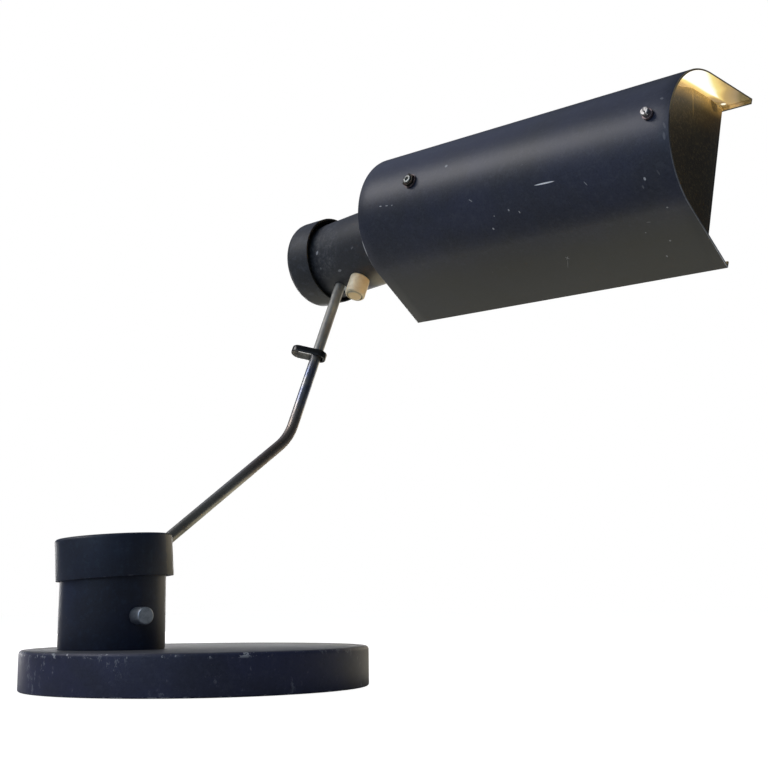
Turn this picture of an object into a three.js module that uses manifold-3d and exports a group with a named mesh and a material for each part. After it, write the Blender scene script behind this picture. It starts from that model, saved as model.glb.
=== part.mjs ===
// Architect desk lamp: round base, swivelling post, bent rod, tubular lampholder and long trough shade.
// Millimetres, +Z up. Origin: centre of the base's resting face. The post stands off centre along -X.
import * as THREE from 'three';
import { mergeVertices } from 'three/addons/utils/BufferGeometryUtils.js';
import Module from 'manifold-3d';

const wasm = await Module();
wasm.setup();

// ---- driving dimensions ----
const SEAT = 0.05; // flat faces stacked in the base
const CLEAR = 0.3; // assembly clearance everywhere else

const DISC_R = 100;
const DISC_H = 23;
const DISC_EDGE = 2.4;
const DISC_FOOT_EDGE = 1.2;
const DISC_LIFT = 0.4; // the pad stands this much proud of the disc's rim
const PAD_R = 94;
const PAD_H = 2;

const POST_INSET = 50; // post axis from the disc's rim
const POST_R = 29.9;
const POST_WALL = 3;
const POST_FLOOR = 8;
const POST_TOP = 73.4;
const POST_EDGE = 0.8;
const POST_SCREWS = 3;
const POST_SCREW_RING_R = 17;
const POST_SCREW_FIRST_DEG = 60; // degrees from +X
const COUNTERBORE = 7; // depth above the pad
const SCREW_SHORT = 1.5; // the screws end this far under the post's inner floor
const M5_R = 2.5;
const M5_HEAD_R = 4.25;
const M5_HEAD_H = 5;
const M4_R = 2;
const M4_HEAD_R = 3.8;
const M4_HEAD_H = 2.4;
const M3_R = 1.5;
const SCREW_SLOT_W = 1;
const SCREW_SLOT_DEPTH = 1;
const GRUB_LENGTH = 10;
const GRUB_SEAT = 0.5; // a set screw's point stays this far off the rod

const HUB_TOP = 72;
const HUB_EDGE = 0.6;
const HUB_CLEAR = 0.5;
const NECK_R = 11;
const NECK_BORE_R = 2.9; // loose round the cap's screw, which leans with the cap
const NECK_BORE_DEPTH = 10;
const GROOVE_DEPTH = 4;
const GROOVE_H = 7.5;
const WASHER_H = 1.8;
const WASHER_BORE_R = 8;
const SET_SCREW_X = -2; // from the post's axis, along the arm

const CAP_R = 33.1;
const CAP_WALL = 1.4;
const CAP_RIM_Z = 62.4;
const CAP_TOP_Z = 86.1;
const CAP_EDGE = 2;
const CAP_TILT_DEG = 3.2; // the loose cap leans on its screw
const CAP_TILT_TOWARDS_DEG = -44.5; // degrees from the arm's direction
const CAP_PIVOT_Z = 84;
const CAP_NOTCH_CLEAR = 1.2; // round the rod
const CAP_SCREW_LENGTH = 10;
const CAP_SCREW_HEAD_R = 4;

const KNOB_Z = 41.5;
const KNOB_AZIMUTH_DEG = -77;
const KNOB_R = 4.8;
const KNOB_LENGTH = 10.8;
const KNOB_CHAMFER = 0.8;

const SWIVEL_DEG = 19.5; // arm direction at rest, from +X
const ROD_R = 3.56;
const ROD_START_Z = 58.9; // where the rod's axis crosses the post's axis
const ROD_TAIL = 14;
const RISE_DEG = 36.1; // lower rod above the horizontal
const LOWER_ROD = 162; // post axis to the bend's corner
const BEND_DEG = 29;
const BEND_RADIUS = 39;
const UPPER_ROD = 150; // bend's corner to the head tube's axis
const ROD_NOSE = 8; // rod beyond the tube's axis
const ARM_ROLL_DEG = 6.5; // the arm's bend plane leans off the vertical
const HEAD_TURN_DEG = -85; // tube direction about the upper rod, from the arm's forward side

const TUBE_R = 26.5;
const TUBE_WALL = 1;
const TUBE_BACK = -19;
const TUBE_FRONT = 94;
const ROLL_RANGE_DEG = 90; // the tube rolls this far about its own axis, from rest to its other stop
const SLOT_SIDE = 0.5;

const HEAD_CAP_GAP = 2.4; // round the tube
const HEAD_CAP_WALL = 1.4;
const HEAD_CAP_RIM = -13.3;
const HEAD_CAP_LENGTH = 22.4;
const HEAD_CAP_EDGE = 5.8;
const HEAD_CAP_LEAN_DEG = 4.4; // the cap and its boss sit askew on the tube's end, about the rod
const HEAD_CAP_SCREW_LENGTH = 12;

const BLOCK_HALF = 9;
const BOSS_R = 8;
const BLOCK_SCREW_LENGTH = 9;
const SPINDLE_SOCKET = 4;
const SPINDLE_R = 5;
const SPINDLE_BORE_R = 3;
const BULKHEAD_T = 2;
const ROLL_WASHER_R = 9;
const ROLL_WASHER_T = 1.1;
const ROLL_NUT_AF = 16;
const ROLL_NUT_T = 5;

const HOLDER_R = 19.5;
const HOLDER_BACK = 40;
const HOLDER_FLOOR = 8;
const HOLDER_LENGTH = 40;
const HOLDER_EDGE = 2;
const SCREW_SHELL_R = 14.9;
const SCREW_SHELL_T = 0.7;
const SHELL_FLOOR_T = 1;
const SHELL_SHORT = 3; // the shell ends this far inside the holder
const CONTACT_R = 4;
const CONTACT_H = 3.2;
const BULB_CAP_R = 13.2;
const BULB_TIP_R = 4.5;
const BULB_CAP_LENGTH = 26;
const BULB_R = 29;
const BULB_LENGTH = 78; // glass
const BULB_NECK_R = 14.5;
const BULB_NECK_H = 6;
const BULB_SHOULDER_R = 18.5;
const BULB_SHOULDER_H = 18;
const BULB_NECK_DEG = -52;

const SWITCH_X = 20.2;
const COLLAR_R = 6.9;
const COLLAR_H = 13.8;
const BUTTON_R = 5;
const BUTTON_H = 14.5;
const SWITCH_BODY_R = 6;
const SWITCH_BODY_INNER = 11; // its inner end, from the tube's axis
const SWITCH_NECK_TOP = 28;
const STEM_R = 2.8;
const STEM_INNER = 18;
const STEM_BORE_INNER = 14;
const BUTTON_SEAT = 30.5; // underside of the button's head
const COLLAR_EDGE = 1.3;
const BUTTON_EDGE = 1.2;

const MOUTH_ROLL_DEG = 6.8; // shade's mouth above the tube's Y direction
const SHADE_TOE_DEG = 2.7;
const SHADE_DROOP_DEG = 3.9;
const SHADE_X = 56.2; // arc centre of the shade's rear edge, from the tube's axis and the rod's
const SHADE_M = -3.1;
const SHADE_N = 5.8;
const SHADE_LENGTH = 232.5;
const SHADE_R = 46.1;
const SHADE_LEG = 47.7;
const SHADE_SPLAY_DEG = 16.2; // each flat side leaves the mouth's direction by this much
const RIDGE_TURN_DEG = 4; // the line of fasteners lies this far off the trough's middle
const RIDGE_CUT = 10; // holes at the ridge are cut this far either side of the sheet
const SHEET = 1.2;
const LIP = 4;

const REAR_BOLT_S = 45.3;
const FRONT_SCREW_S = 219.5;
const BAFFLE_S = 215.5;
const BAFFLE_T = 0.9;
const BAFFLE_APEX_R = 41.3;
const BAFFLE_TURN_DEG = -1.5; // its far side stands further back than its near side
const BAFFLE_FREE_M = [30, 32.8]; // its free edge: far end, near end
const BAFFLE_SIDE_GAP = 0.4;
const TAB_W = 9;
const STRAP_T = 2;
const STRAP_W = 14;
const FOOT_FROM = 9; // the strap's foot on the tube, along the shade
const FOOT_TO = 30;
const FOOT_RISE = 3.1; // its outer face above the tube
const FOOT_DEPTH = 5.5; // before the tube's hollow is cut out of it
const WEB_RUN = 7; // how far the strap leans forward between foot and ridge
const STRAP_END = 9; // beyond the rear bolt
const RIVET_R = 2;
const RIVET_HEAD_R = 3.2;
const RIVET_HEAD_H = 1.2;
const RIVETS_S = [14.3, 24.3];
const RIVET_SEAT = 0.5; // its flat head off the tube's curved bore
const RIVET_LIFT = 1; // its outer head over the strap's foot, which leans with the shade
const BOLT_R = 2.65;
const BOLT_HEAD_R = 4.2;
const BOLT_HEAD_H = 3;
const BOLT_STANDS = 4; // above the ridge
const TIP_CHAMFER = 0.4;
const BOLT_NUT_AF = 8;
const BOLT_NUT_T = 1.75;
const BOLT_WASHER_R = 4.7;
const BOLT_WASHER_T = 0.8;
const FRONT_HEAD_R = 2.55;
const FRONT_STANDS = 4.9;
const FRONT_WASHER_R = 3.35;
const FRONT_WASHER_T = 1.45;
const FRONT_NUT_AF = 5.5;
const FRONT_NUT_T = 2.4;
const BAFFLE_CORNERS = [[53.2, 17], [49, 17]]; // far, near: across at the free edge, along at the shoulder
const BAFFLE_SHOULDER_M = -4;
const BAFFLE_ARC_FROM_DEG = 112; // degrees from the mouth
const TAB_END = 5; // beyond the front screw

const CLIP_AT = 65; // above the bend's corner
const CLIP_TURN_DEG = -137;
const CLIP_SPAN = 13.7; // between the centres of its two round ends
const CLIP_SHIFT = 1.6; // the rod lies this far in from the band's round end
const CLIP_WALL = 1.3;
const CLIP_H = 4.5;

const RAD = Math.PI / 180;
const X_AXIS = new THREE.Vector3(1, 0, 0);
const Y_AXIS = new THREE.Vector3(0, 1, 0);
const Z_AXIS = new THREE.Vector3(0, 0, 1);

// ---- solids ----
function toSolid(item) {
  if (!item.isBufferGeometry) return item;
  const plain = item.clone();
  plain.deleteAttribute('normal');
  plain.deleteAttribute('uv');
  const merged = mergeVertices(plain);
  const index = merged.index.array;
  const kept = [];
  for (let i = 0; i < index.length; i += 3) {
    const [a, b, c] = [index[i], index[i + 1], index[i + 2]];
    if (a !== b && b !== c && c !== a) kept.push(a, b, c);
  }
  const vertProperties = new Float32Array(merged.attributes.position.array);
  const triVerts = new Uint32Array(kept);
  return new wasm.Manifold(new wasm.Mesh({ numProp: 3, vertProperties, triVerts }));
}

function cut(body, ...tools) {
  return tools.reduce((left, tool) => left.subtract(toSolid(tool)), toSolid(body));
}

function join(body, ...others) {
  return others.reduce((sum, other) => sum.add(toSolid(other)), toSolid(body));
}

function common(body, other) {
  return toSolid(body).intersect(toSolid(other));
}

function toGeometry(item) {
  const mesh = toSolid(item).getMesh();
  const geometry = new THREE.BufferGeometry();
  geometry.setAttribute('position', new THREE.BufferAttribute(new Float32Array(mesh.vertProperties), 3));
  geometry.setIndex(new THREE.BufferAttribute(new Uint32Array(mesh.triVerts), 1));
  geometry.computeVertexNormals();
  return geometry;
}

// Turned piece about Z: the profile is a list of [radius, z], outer side upwards.
function turned(profile, segments = 32) {
  const points = profile.map(([r, z]) => new THREE.Vector2(r, z));
  return new THREE.LatheGeometry(points, segments).rotateX(Math.PI / 2);
}

function ring(inner, outer, z0, z1, segments = 32) {
  return turned([[inner, z0], [outer, z0], [outer, z1], [inner, z1], [inner, z0]], segments);
}

function rod(radius, z0, z1, segments = 16) {
  return new THREE.CylinderGeometry(radius, radius, z1 - z0, segments)
    .rotateX(Math.PI / 2)
    .translate(0, 0, (z0 + z1) / 2);
}

function box(x0, x1, y0, y1, z0, z1) {
  return new THREE.BoxGeometry(x1 - x0, y1 - y0, z1 - z0)
    .translate((x0 + x1) / 2, (y0 + y1) / 2, (z0 + z1) / 2);
}

// Z-built geometry laid along +X, +Y or any direction.
function along(direction, geometry) {
  const turn = new THREE.Quaternion().setFromUnitVectors(Z_AXIS, direction.clone().normalize());
  return geometry.applyQuaternion(turn);
}

function roundedProfile(radius, z, edge, steps = 3) {
  const points = [];
  for (let i = 0; i <= steps; i += 1) {
    const angle = (i / steps) * 90 * RAD;
    points.push([radius - edge + edge * Math.cos(angle), z - edge + edge * Math.sin(angle)]);
  }
  return points;
}

// ---- materials ----
function finish(color, roughness, metalness) {
  return new THREE.MeshStandardMaterial({ color, roughness, metalness });
}
const NAVY = finish(0x23262d, 0.45, 0.1);
const BLACK = finish(0x121315, 0.5, 0.1);
const STEEL = finish(0x8d9095, 0.3, 1);
const BRASS = finish(0xb08d4f, 0.35, 1);
const ALUMINIUM = finish(0x9da3a8, 0.4, 1);
const FELT = finish(0x20231f, 0.95, 0);
const IVORY = finish(0xd8c9a0, 0.5, 0);
const BAKELITE = finish(0x1b1512, 0.4, 0);
const NYLON = finish(0xd9d7cf, 0.6, 0);
const CLIP = finish(0x0c0c0d, 0.3, 0);
const GLASS = finish(0xfff4dc, 0.15, 0);
const DARK_SHEET = finish(0x2a241a, 0.6, 0.1);

// ---- frames ----
function frame(parent, position, rotations = []) {
  const group = new THREE.Group();
  group.position.set(...position);
  for (const [axis, degrees] of rotations) {
    group.quaternion.multiply(new THREE.Quaternion().setFromAxisAngle(axis, degrees * RAD));
  }
  parent.add(group);
  return group;
}

function piece(parent, name, item, material) {
  const mesh = new THREE.Mesh(toGeometry(item), material);
  mesh.name = name;
  parent.add(mesh);
  return mesh;
}

const postX = POST_INSET - DISC_R;
const lamp = new THREE.Group();
const post = frame(lamp, [postX, 0, 0]);
const swivel = frame(post, [0, 0, 0], [[Z_AXIS, SWIVEL_DEG]]);
const baseCap = frame(swivel, [0, 0, CAP_PIVOT_Z], [
  [Z_AXIS, CAP_TILT_TOWARDS_DEG], [Y_AXIS, -CAP_TILT_DEG], [Z_AXIS, -CAP_TILT_TOWARDS_DEG],
]);
const arm = frame(swivel, [0, 0, ROD_START_Z], [[Y_AXIS, -RISE_DEG], [X_AXIS, -ARM_ROLL_DEG]]);
const bendCorner = frame(arm, [LOWER_ROD, 0, 0], [[Y_AXIS, 90 - BEND_DEG], [Z_AXIS, HEAD_TURN_DEG]]);
const head = frame(bendCorner, [0, 0, UPPER_ROD]); // X along the tube, Z along the rod
const headCap = frame(head, [0, 0, 0], [[Z_AXIS, HEAD_CAP_LEAN_DEG]]);
const clip = frame(bendCorner, [0, 0, CLIP_AT], [[Z_AXIS, CLIP_TURN_DEG]]);
const button = frame(head, [SWITCH_X, 0, 0], [[X_AXIS, 180]]); // Z outwards through the tube's underside
const mouth = frame(head, [0, 0, 0], [[X_AXIS, MOUTH_ROLL_DEG]]);
const shadeTurns = [[Z_AXIS, SHADE_TOE_DEG], [Y_AXIS, SHADE_DROOP_DEG]];
const shade = frame(mouth, [SHADE_X, SHADE_M, SHADE_N], shadeTurns);
const ridge = frame(shade, [0, 0, 0], [[X_AXIS, RIDGE_TURN_DEG]]);
const baffle = frame(shade, [BAFFLE_S, 0, 0], [[Y_AXIS, BAFFLE_TURN_DEG]]); // X through the plate
const baffleRidge = frame(baffle, [0, 0, 0], [[X_AXIS, RIDGE_TURN_DEG]]);
// Z outwards from the post
const knob = frame(post, [0, 0, KNOB_Z], [[Z_AXIS, KNOB_AZIMUTH_DEG], [Y_AXIS, 90]]);
lamp.updateMatrixWorld(true);

// Geometry written in one frame, moved into another.
function moved(geometry, from, to) {
  return geometry.applyMatrix4(new THREE.Matrix4().copy(to.matrixWorld).invert().multiply(from.matrixWorld));
}

// ---- base ----
const hubR = POST_R - POST_WALL - HUB_CLEAR;
const floorZ = DISC_H + SEAT;
const hubBottom = floorZ + POST_FLOOR + WASHER_H + 2 * SEAT;
const screwTop = floorZ + POST_FLOOR - SCREW_SHORT;
const screwHeadTop = PAD_H + COUNTERBORE;
const postScrewAt = Array.from({ length: POST_SCREWS }, (_, i) => {
  const angle = (POST_SCREW_FIRST_DEG + (360 / POST_SCREWS) * i) * RAD;
  return [POST_SCREW_RING_R * Math.cos(angle), POST_SCREW_RING_R * Math.sin(angle)];
});

piece(lamp, 'base_pad', turned([[0, 0], [PAD_R, 0], [PAD_R, PAD_H], [0, PAD_H]], 48), FELT);

let disc = turned([
  [0, PAD_H + SEAT], [PAD_R + CLEAR, PAD_H + SEAT], [PAD_R + CLEAR, DISC_LIFT],
  [DISC_R - DISC_FOOT_EDGE, DISC_LIFT], [DISC_R, DISC_LIFT + DISC_FOOT_EDGE],
  ...roundedProfile(DISC_R, DISC_H, DISC_EDGE, 3), [0, DISC_H],
], 72);
for (const [x, y] of postScrewAt) {
  disc = cut(
    disc,
    rod(M5_R + CLEAR, 0, DISC_H + 1).translate(x + postX, y, 0),
    rod(M5_HEAD_R + 2 * CLEAR, 0, screwHeadTop + SEAT).translate(x + postX, y, 0),
  );
}
piece(lamp, 'base_disc', disc, NAVY);

let postBody = turned([
  [0, floorZ], [POST_R, floorZ], [POST_R, POST_TOP - POST_EDGE], [POST_R - POST_EDGE, POST_TOP],
  [POST_R - POST_WALL, POST_TOP], [POST_R - POST_WALL, floorZ + POST_FLOOR], [0, floorZ + POST_FLOOR],
], 48);
for (const [x, y] of postScrewAt) {
  postBody = cut(postBody, rod(M5_R + CLEAR, floorZ - 1, screwTop + CLEAR).translate(x, y, 0));
}
const knobBore = moved(rod(M5_R + CLEAR, POST_R - 2 * POST_WALL, POST_R + POST_WALL), knob, post);
piece(post, 'post', cut(postBody, knobBore), NAVY);

postScrewAt.forEach(([x, y], i) => {
  const screw = turned([
    [0, screwHeadTop - M5_HEAD_H], [M5_HEAD_R, screwHeadTop - M5_HEAD_H], [M5_HEAD_R, screwHeadTop],
    [M5_R, screwHeadTop], [M5_R, screwTop], [0, screwTop],
  ], 24).translate(x, y, 0);
  piece(post, `post_screw_${i + 1}`, screw, STEEL);
});

const washerZ = floorZ + POST_FLOOR + SEAT;
piece(swivel, 'thrust_washer', ring(WASHER_BORE_R, hubR, washerZ, washerZ + WASHER_H), NYLON);

// ---- swivel hub and its loose cap ----
const grooveR = hubR - GROOVE_DEPTH;
const capInnerTop = CAP_TOP_Z - CAP_WALL;
const neckTop = capInnerTop - CLEAR - NECK_R * Math.sin(CAP_TILT_DEG * RAD);
const setScrewZ = ROD_START_Z + SET_SCREW_X * Math.tan(RISE_DEG * RAD);
const armBore = () => along(X_AXIS, rod(ROD_R + CLEAR, -ROD_TAIL - CLEAR, 2 * POST_R));
const hubBlank = turned([
  [0, hubBottom], [hubR, hubBottom], [hubR, KNOB_Z - GROOVE_H / 2], [grooveR, KNOB_Z - GROOVE_H / 2],
  [grooveR, KNOB_Z + GROOVE_H / 2], [hubR, KNOB_Z + GROOVE_H / 2], [hubR, HUB_TOP - HUB_EDGE],
  [hubR - HUB_EDGE, HUB_TOP], [NECK_R, HUB_TOP], [NECK_R, neckTop], [0, neckTop],
], 48);
piece(swivel, 'swivel_hub', cut(
  hubBlank,
  moved(armBore(), arm, swivel),
  rod(NECK_BORE_R, neckTop - NECK_BORE_DEPTH, neckTop + 1),
  along(Y_AXIS, rod(M5_R + CLEAR, -hubR - 1, 0)).translate(SET_SCREW_X, 0, setScrewZ),
), ALUMINIUM);
const grub = (radius, length) => along(Y_AXIS, rod(radius, -ROD_R - GRUB_SEAT - length, -ROD_R - GRUB_SEAT));
piece(swivel, 'arm_set_screw', grub(M5_R, GRUB_LENGTH).translate(SET_SCREW_X, 0, setScrewZ), STEEL);

const capTop = CAP_TOP_Z - CAP_PIVOT_Z;
const capRim = CAP_RIM_Z - CAP_PIVOT_Z;
const capBlank = turned([
  [CAP_R - CAP_WALL, capRim], [CAP_R, capRim], ...roundedProfile(CAP_R, capTop, CAP_EDGE), [0, capTop],
  [0, capTop - CAP_WALL],
  ...roundedProfile(CAP_R - CAP_WALL, capTop - CAP_WALL, CAP_EDGE - CAP_WALL).reverse(),
  [CAP_R - CAP_WALL, capRim],
], 48);
const rodNotch = moved(along(X_AXIS, rod(ROD_R + CAP_NOTCH_CLEAR, hubR, 2 * CAP_R)), arm, baseCap);
const sinkDepth = CAP_SCREW_HEAD_R - M4_R;
const countersink = turned([
  [0, capTop - 2 * sinkDepth], [M4_R + CLEAR, capTop - 2 * sinkDepth], [M4_R + CLEAR, capTop - sinkDepth],
  [CAP_SCREW_HEAD_R + CLEAR, capTop], [CAP_SCREW_HEAD_R + CLEAR, capTop + 1], [0, capTop + 1],
], 24);
piece(baseCap, 'base_cap', cut(capBlank, rodNotch, countersink), NAVY);
const capScrew = turned([
  [0, capTop - CAP_SCREW_LENGTH], [M4_R, capTop - CAP_SCREW_LENGTH], [M4_R, capTop - sinkDepth],
  [CAP_SCREW_HEAD_R, capTop], [0, capTop],
], 24);
function screwSlot(top) {
  const reach = CAP_SCREW_HEAD_R + 1;
  return box(-reach, reach, -SCREW_SLOT_W / 2, SCREW_SLOT_W / 2, top - SCREW_SLOT_DEPTH, top + 1);
}
piece(baseCap, 'cap_screw', cut(capScrew, screwSlot(capTop)), STEEL);

// ---- clamp knob, its stem reaching into the hub's groove ----
const knobFoot = POST_R + CLEAR;
const knobEnd = POST_R + KNOB_LENGTH;
piece(knob, 'clamp_knob', turned([
  [0, grooveR + CLEAR], [M5_R, grooveR + CLEAR], [M5_R, knobFoot], [KNOB_R, knobFoot],
  [KNOB_R, knobEnd - KNOB_CHAMFER], [KNOB_R - KNOB_CHAMFER, knobEnd], [0, knobEnd],
], 32), ALUMINIUM);

// ---- bent rod ----
class RodPath extends THREE.Curve {
  getPoint(t, target = new THREE.Vector3()) {
    const tangent = BEND_RADIUS * Math.tan((BEND_DEG / 2) * RAD);
    const first = ROD_TAIL + LOWER_ROD - tangent;
    const arc = BEND_RADIUS * BEND_DEG * RAD;
    const last = UPPER_ROD + ROD_NOSE - tangent;
    const s = t * (first + arc + last);
    if (s <= first) return target.set(s - ROD_TAIL, 0, 0);
    const turn = Math.min((s - first) / BEND_RADIUS, BEND_DEG * RAD);
    const rest = Math.max(s - first - arc, 0);
    return target.set(
      LOWER_ROD - tangent + BEND_RADIUS * Math.sin(turn) + rest * Math.cos(turn),
      0,
      BEND_RADIUS * (1 - Math.cos(turn)) + rest * Math.sin(turn),
    );
  }
}
const rodSection = new THREE.Shape(new THREE.EllipseCurve(0, 0, ROD_R, ROD_R).getPoints(12).slice(0, 12));
piece(arm, 'bent_rod', new THREE.ExtrudeGeometry(rodSection, {
  extrudePath: new RodPath(), steps: 64, bevelEnabled: false,
}), STEEL);

// ---- cable clip: an oval band round the rod, its other lobe free for a cord ----
const clipInner = ROD_R + CLEAR;
function stadium(radius, path = new THREE.Shape()) {
  path.absarc(0, 0, radius, 90 * RAD, 270 * RAD);
  path.absarc(CLIP_SPAN, 0, radius, -90 * RAD, 90 * RAD);
  path.closePath();
  return path;
}
const band = stadium(clipInner + CLIP_WALL);
band.holes.push(stadium(clipInner, new THREE.Path()));
piece(clip, 'cable_clip', new THREE.ExtrudeGeometry(band, {
  depth: CLIP_H, bevelEnabled: false, curveSegments: 12,
}).translate(-CLIP_SHIFT, 0, -CLIP_H / 2), CLIP);

// ---- pivot inside the head tube: block, spindle, bulkhead, washer and nut ----
const tubeBoreR = TUBE_R - TUBE_WALL;
const insideR = tubeBoreR - CLEAR;
const headCapBack = HEAD_CAP_RIM - HEAD_CAP_LENGTH;
const bossBack = headCapBack + HEAD_CAP_WALL + CLEAR;
const bulkheadX = BLOCK_HALF + CLEAR;
const rollWasherX = bulkheadX + BULKHEAD_T + CLEAR;
const rollNutX = rollWasherX + ROLL_WASHER_T + CLEAR;
const spindleFrom = BLOCK_HALF - SPINDLE_SOCKET;
const spindleTo = HOLDER_BACK + (HOLDER_FLOOR * 5) / 8;
const headScrewReach = headCapBack + HEAD_CAP_SCREW_LENGTH;
piece(head, 'pivot_block', cut(
  join(
    along(X_AXIS, rod(insideR, -BLOCK_HALF, BLOCK_HALF, 48)),
    moved(along(X_AXIS, rod(BOSS_R, bossBack, 0, 32)), headCap, head),
  ),
  rod(ROD_R + CLEAR, -insideR - 1, ROD_NOSE + CLEAR),
  along(X_AXIS, rod(SPINDLE_R + CLEAR, spindleFrom - CLEAR, BLOCK_HALF + 1)),
  moved(along(X_AXIS, rod(M4_R + CLEAR, bossBack - 1, headScrewReach + CLEAR)), headCap, head),
  along(Y_AXIS, rod(M4_R + CLEAR, -insideR - 1, 0)),
), ALUMINIUM);
piece(head, 'block_set_screw', grub(M4_R, BLOCK_SCREW_LENGTH), STEEL);
piece(head, 'spindle', along(X_AXIS, ring(SPINDLE_BORE_R, SPINDLE_R, spindleFrom, spindleTo, 24)), BRASS);
piece(head, 'tube_bulkhead', along(
  X_AXIS,
  ring(SPINDLE_R + CLEAR, insideR, bulkheadX, bulkheadX + BULKHEAD_T),
), STEEL);
piece(head, 'roll_washer', along(
  X_AXIS,
  ring(SPINDLE_R + CLEAR, ROLL_WASHER_R, rollWasherX, rollWasherX + ROLL_WASHER_T, 24),
), STEEL);
const nut = (acrossFlats, boreR, z0, z1) => cut(
  rod(acrossFlats / Math.sqrt(3), z0, z1, 6),
  rod(boreR, z0 - 1, z1 + 1),
);
const faceX = frame(head, [0, 0, 0], [[Y_AXIS, 90]]); // Z along the tube
piece(faceX, 'roll_nut', nut(ROLL_NUT_AF, SPINDLE_R + CLEAR, rollNutX, rollNutX + ROLL_NUT_T), STEEL);

// ---- head cap on the block's boss ----
const headCapInner = TUBE_R + HEAD_CAP_GAP;
const headCapR = headCapInner + HEAD_CAP_WALL;
const capInside = headCapBack + HEAD_CAP_WALL;
const lidProfile = [
  [0, -headCapBack], ...roundedProfile(headCapR, -headCapBack, HEAD_CAP_EDGE).reverse(),
  [headCapR, -HEAD_CAP_RIM], [headCapInner, -HEAD_CAP_RIM],
  ...roundedProfile(headCapInner, -capInside, HEAD_CAP_EDGE - HEAD_CAP_WALL), [0, -capInside],
].reverse();
const minusX = new THREE.Vector3(-1, 0, 0);
piece(headCap, 'head_cap', cut(
  along(minusX, turned(lidProfile, 48)),
  along(minusX, rod(M4_R + CLEAR, -capInside - 1, -headCapBack + 1)),
), NAVY);
const faceBack = frame(headCap, [0, 0, 0], [[Y_AXIS, -90]]); // Z out through the head cap
const headScrewSeat = -headCapBack + SEAT;
const headScrewTop = headScrewSeat + M4_HEAD_H;
piece(faceBack, 'head_cap_screw', cut(
  turned([
    [0, -headScrewReach], [M4_R, -headScrewReach], [M4_R, headScrewSeat], [M4_HEAD_R, headScrewSeat],
    [M4_HEAD_R, headScrewSeat + (M4_HEAD_H * 2) / 3], [(M4_HEAD_R * 4) / 5, headScrewTop], [0, headScrewTop],
  ], 24),
  screwSlot(headScrewTop),
), STEEL);

// ---- head tube with the roll slot and the switch hole ----
const slotOuter = TUBE_R + 2 * TUBE_WALL;
const slotInner = tubeBoreR - 2 * TUBE_WALL;
const slotShape = new THREE.Shape();
slotShape.absarc(0, 0, slotOuter, -90 * RAD, (ROLL_RANGE_DEG - 90) * RAD, false);
slotShape.absarc(0, 0, slotInner, (ROLL_RANGE_DEG - 90) * RAD, -90 * RAD, true);
slotShape.closePath();
// A section in (y, z), drawn out along X.
const sectionToX = new THREE.Matrix4().makeBasis(Y_AXIS, Z_AXIS, X_AXIS);
const rollSlot = new THREE.ExtrudeGeometry(slotShape, {
  depth: 2 * (ROD_R + SLOT_SIDE), bevelEnabled: false, curveSegments: 20,
}).applyMatrix4(sectionToX).translate(-ROD_R - SLOT_SIDE, 0, 0);
const slotEnd = (roll) => rod(ROD_R + SLOT_SIDE, -slotOuter, -slotInner).rotateX(roll * RAD);
const rivetAim = new THREE.Vector3(0, -1, 0.075); // towards the shade's ridge
const rivetsX = RIVETS_S.map((s) => SHADE_X + s);
const rivetHole = (x, from) => moved(
  along(rivetAim, rod(RIVET_R + CLEAR, tubeBoreR - FOOT_DEPTH, TUBE_R + 2 * FOOT_DEPTH)).translate(x, 0, 0),
  mouth,
  from,
);
piece(head, 'head_tube', cut(
  along(X_AXIS, ring(tubeBoreR, TUBE_R, TUBE_BACK, TUBE_FRONT, 56)),
  rollSlot,
  slotEnd(0),
  slotEnd(ROLL_RANGE_DEG),
  moved(rod(BUTTON_R + 2 * CLEAR, tubeBoreR - COLLAR_R, TUBE_R + COLLAR_R), button, head),
  ...rivetsX.map((x) => rivetHole(x, head)),
), NAVY);

// ---- push-button switch ----
const saddle = (radius) => along(X_AXIS, rod(radius, -2 * COLLAR_R, 2 * COLLAR_R, 56));
const collarFoot = tubeBoreR - 2 * TUBE_WALL;
piece(button, 'switch_collar', cut(
  turned([
    [BUTTON_R + CLEAR, collarFoot], [COLLAR_R, collarFoot],
    ...roundedProfile(COLLAR_R, TUBE_R + COLLAR_H, COLLAR_EDGE),
    [BUTTON_R + CLEAR, TUBE_R + COLLAR_H], [BUTTON_R + CLEAR, collarFoot],
  ], 28),
  saddle(TUBE_R + CLEAR),
), IVORY);
const switchCase = join(
  common(rod(SWITCH_BODY_R, SWITCH_BODY_INNER, TUBE_R, 32), saddle(insideR)),
  rod(BUTTON_R, SWITCH_BODY_INNER + 1, SWITCH_NECK_TOP, 32),
);
piece(button, 'switch_body', cut(switchCase, rod(STEM_R + CLEAR, STEM_BORE_INNER, BUTTON_SEAT)), BAKELITE);
piece(button, 'switch_button', turned([
  [0, STEM_INNER], [STEM_R, STEM_INNER], [STEM_R, BUTTON_SEAT], [BUTTON_R, BUTTON_SEAT],
  ...roundedProfile(BUTTON_R, TUBE_R + BUTTON_H, BUTTON_EDGE), [0, TUBE_R + BUTTON_H],
], 32), IVORY);

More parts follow.
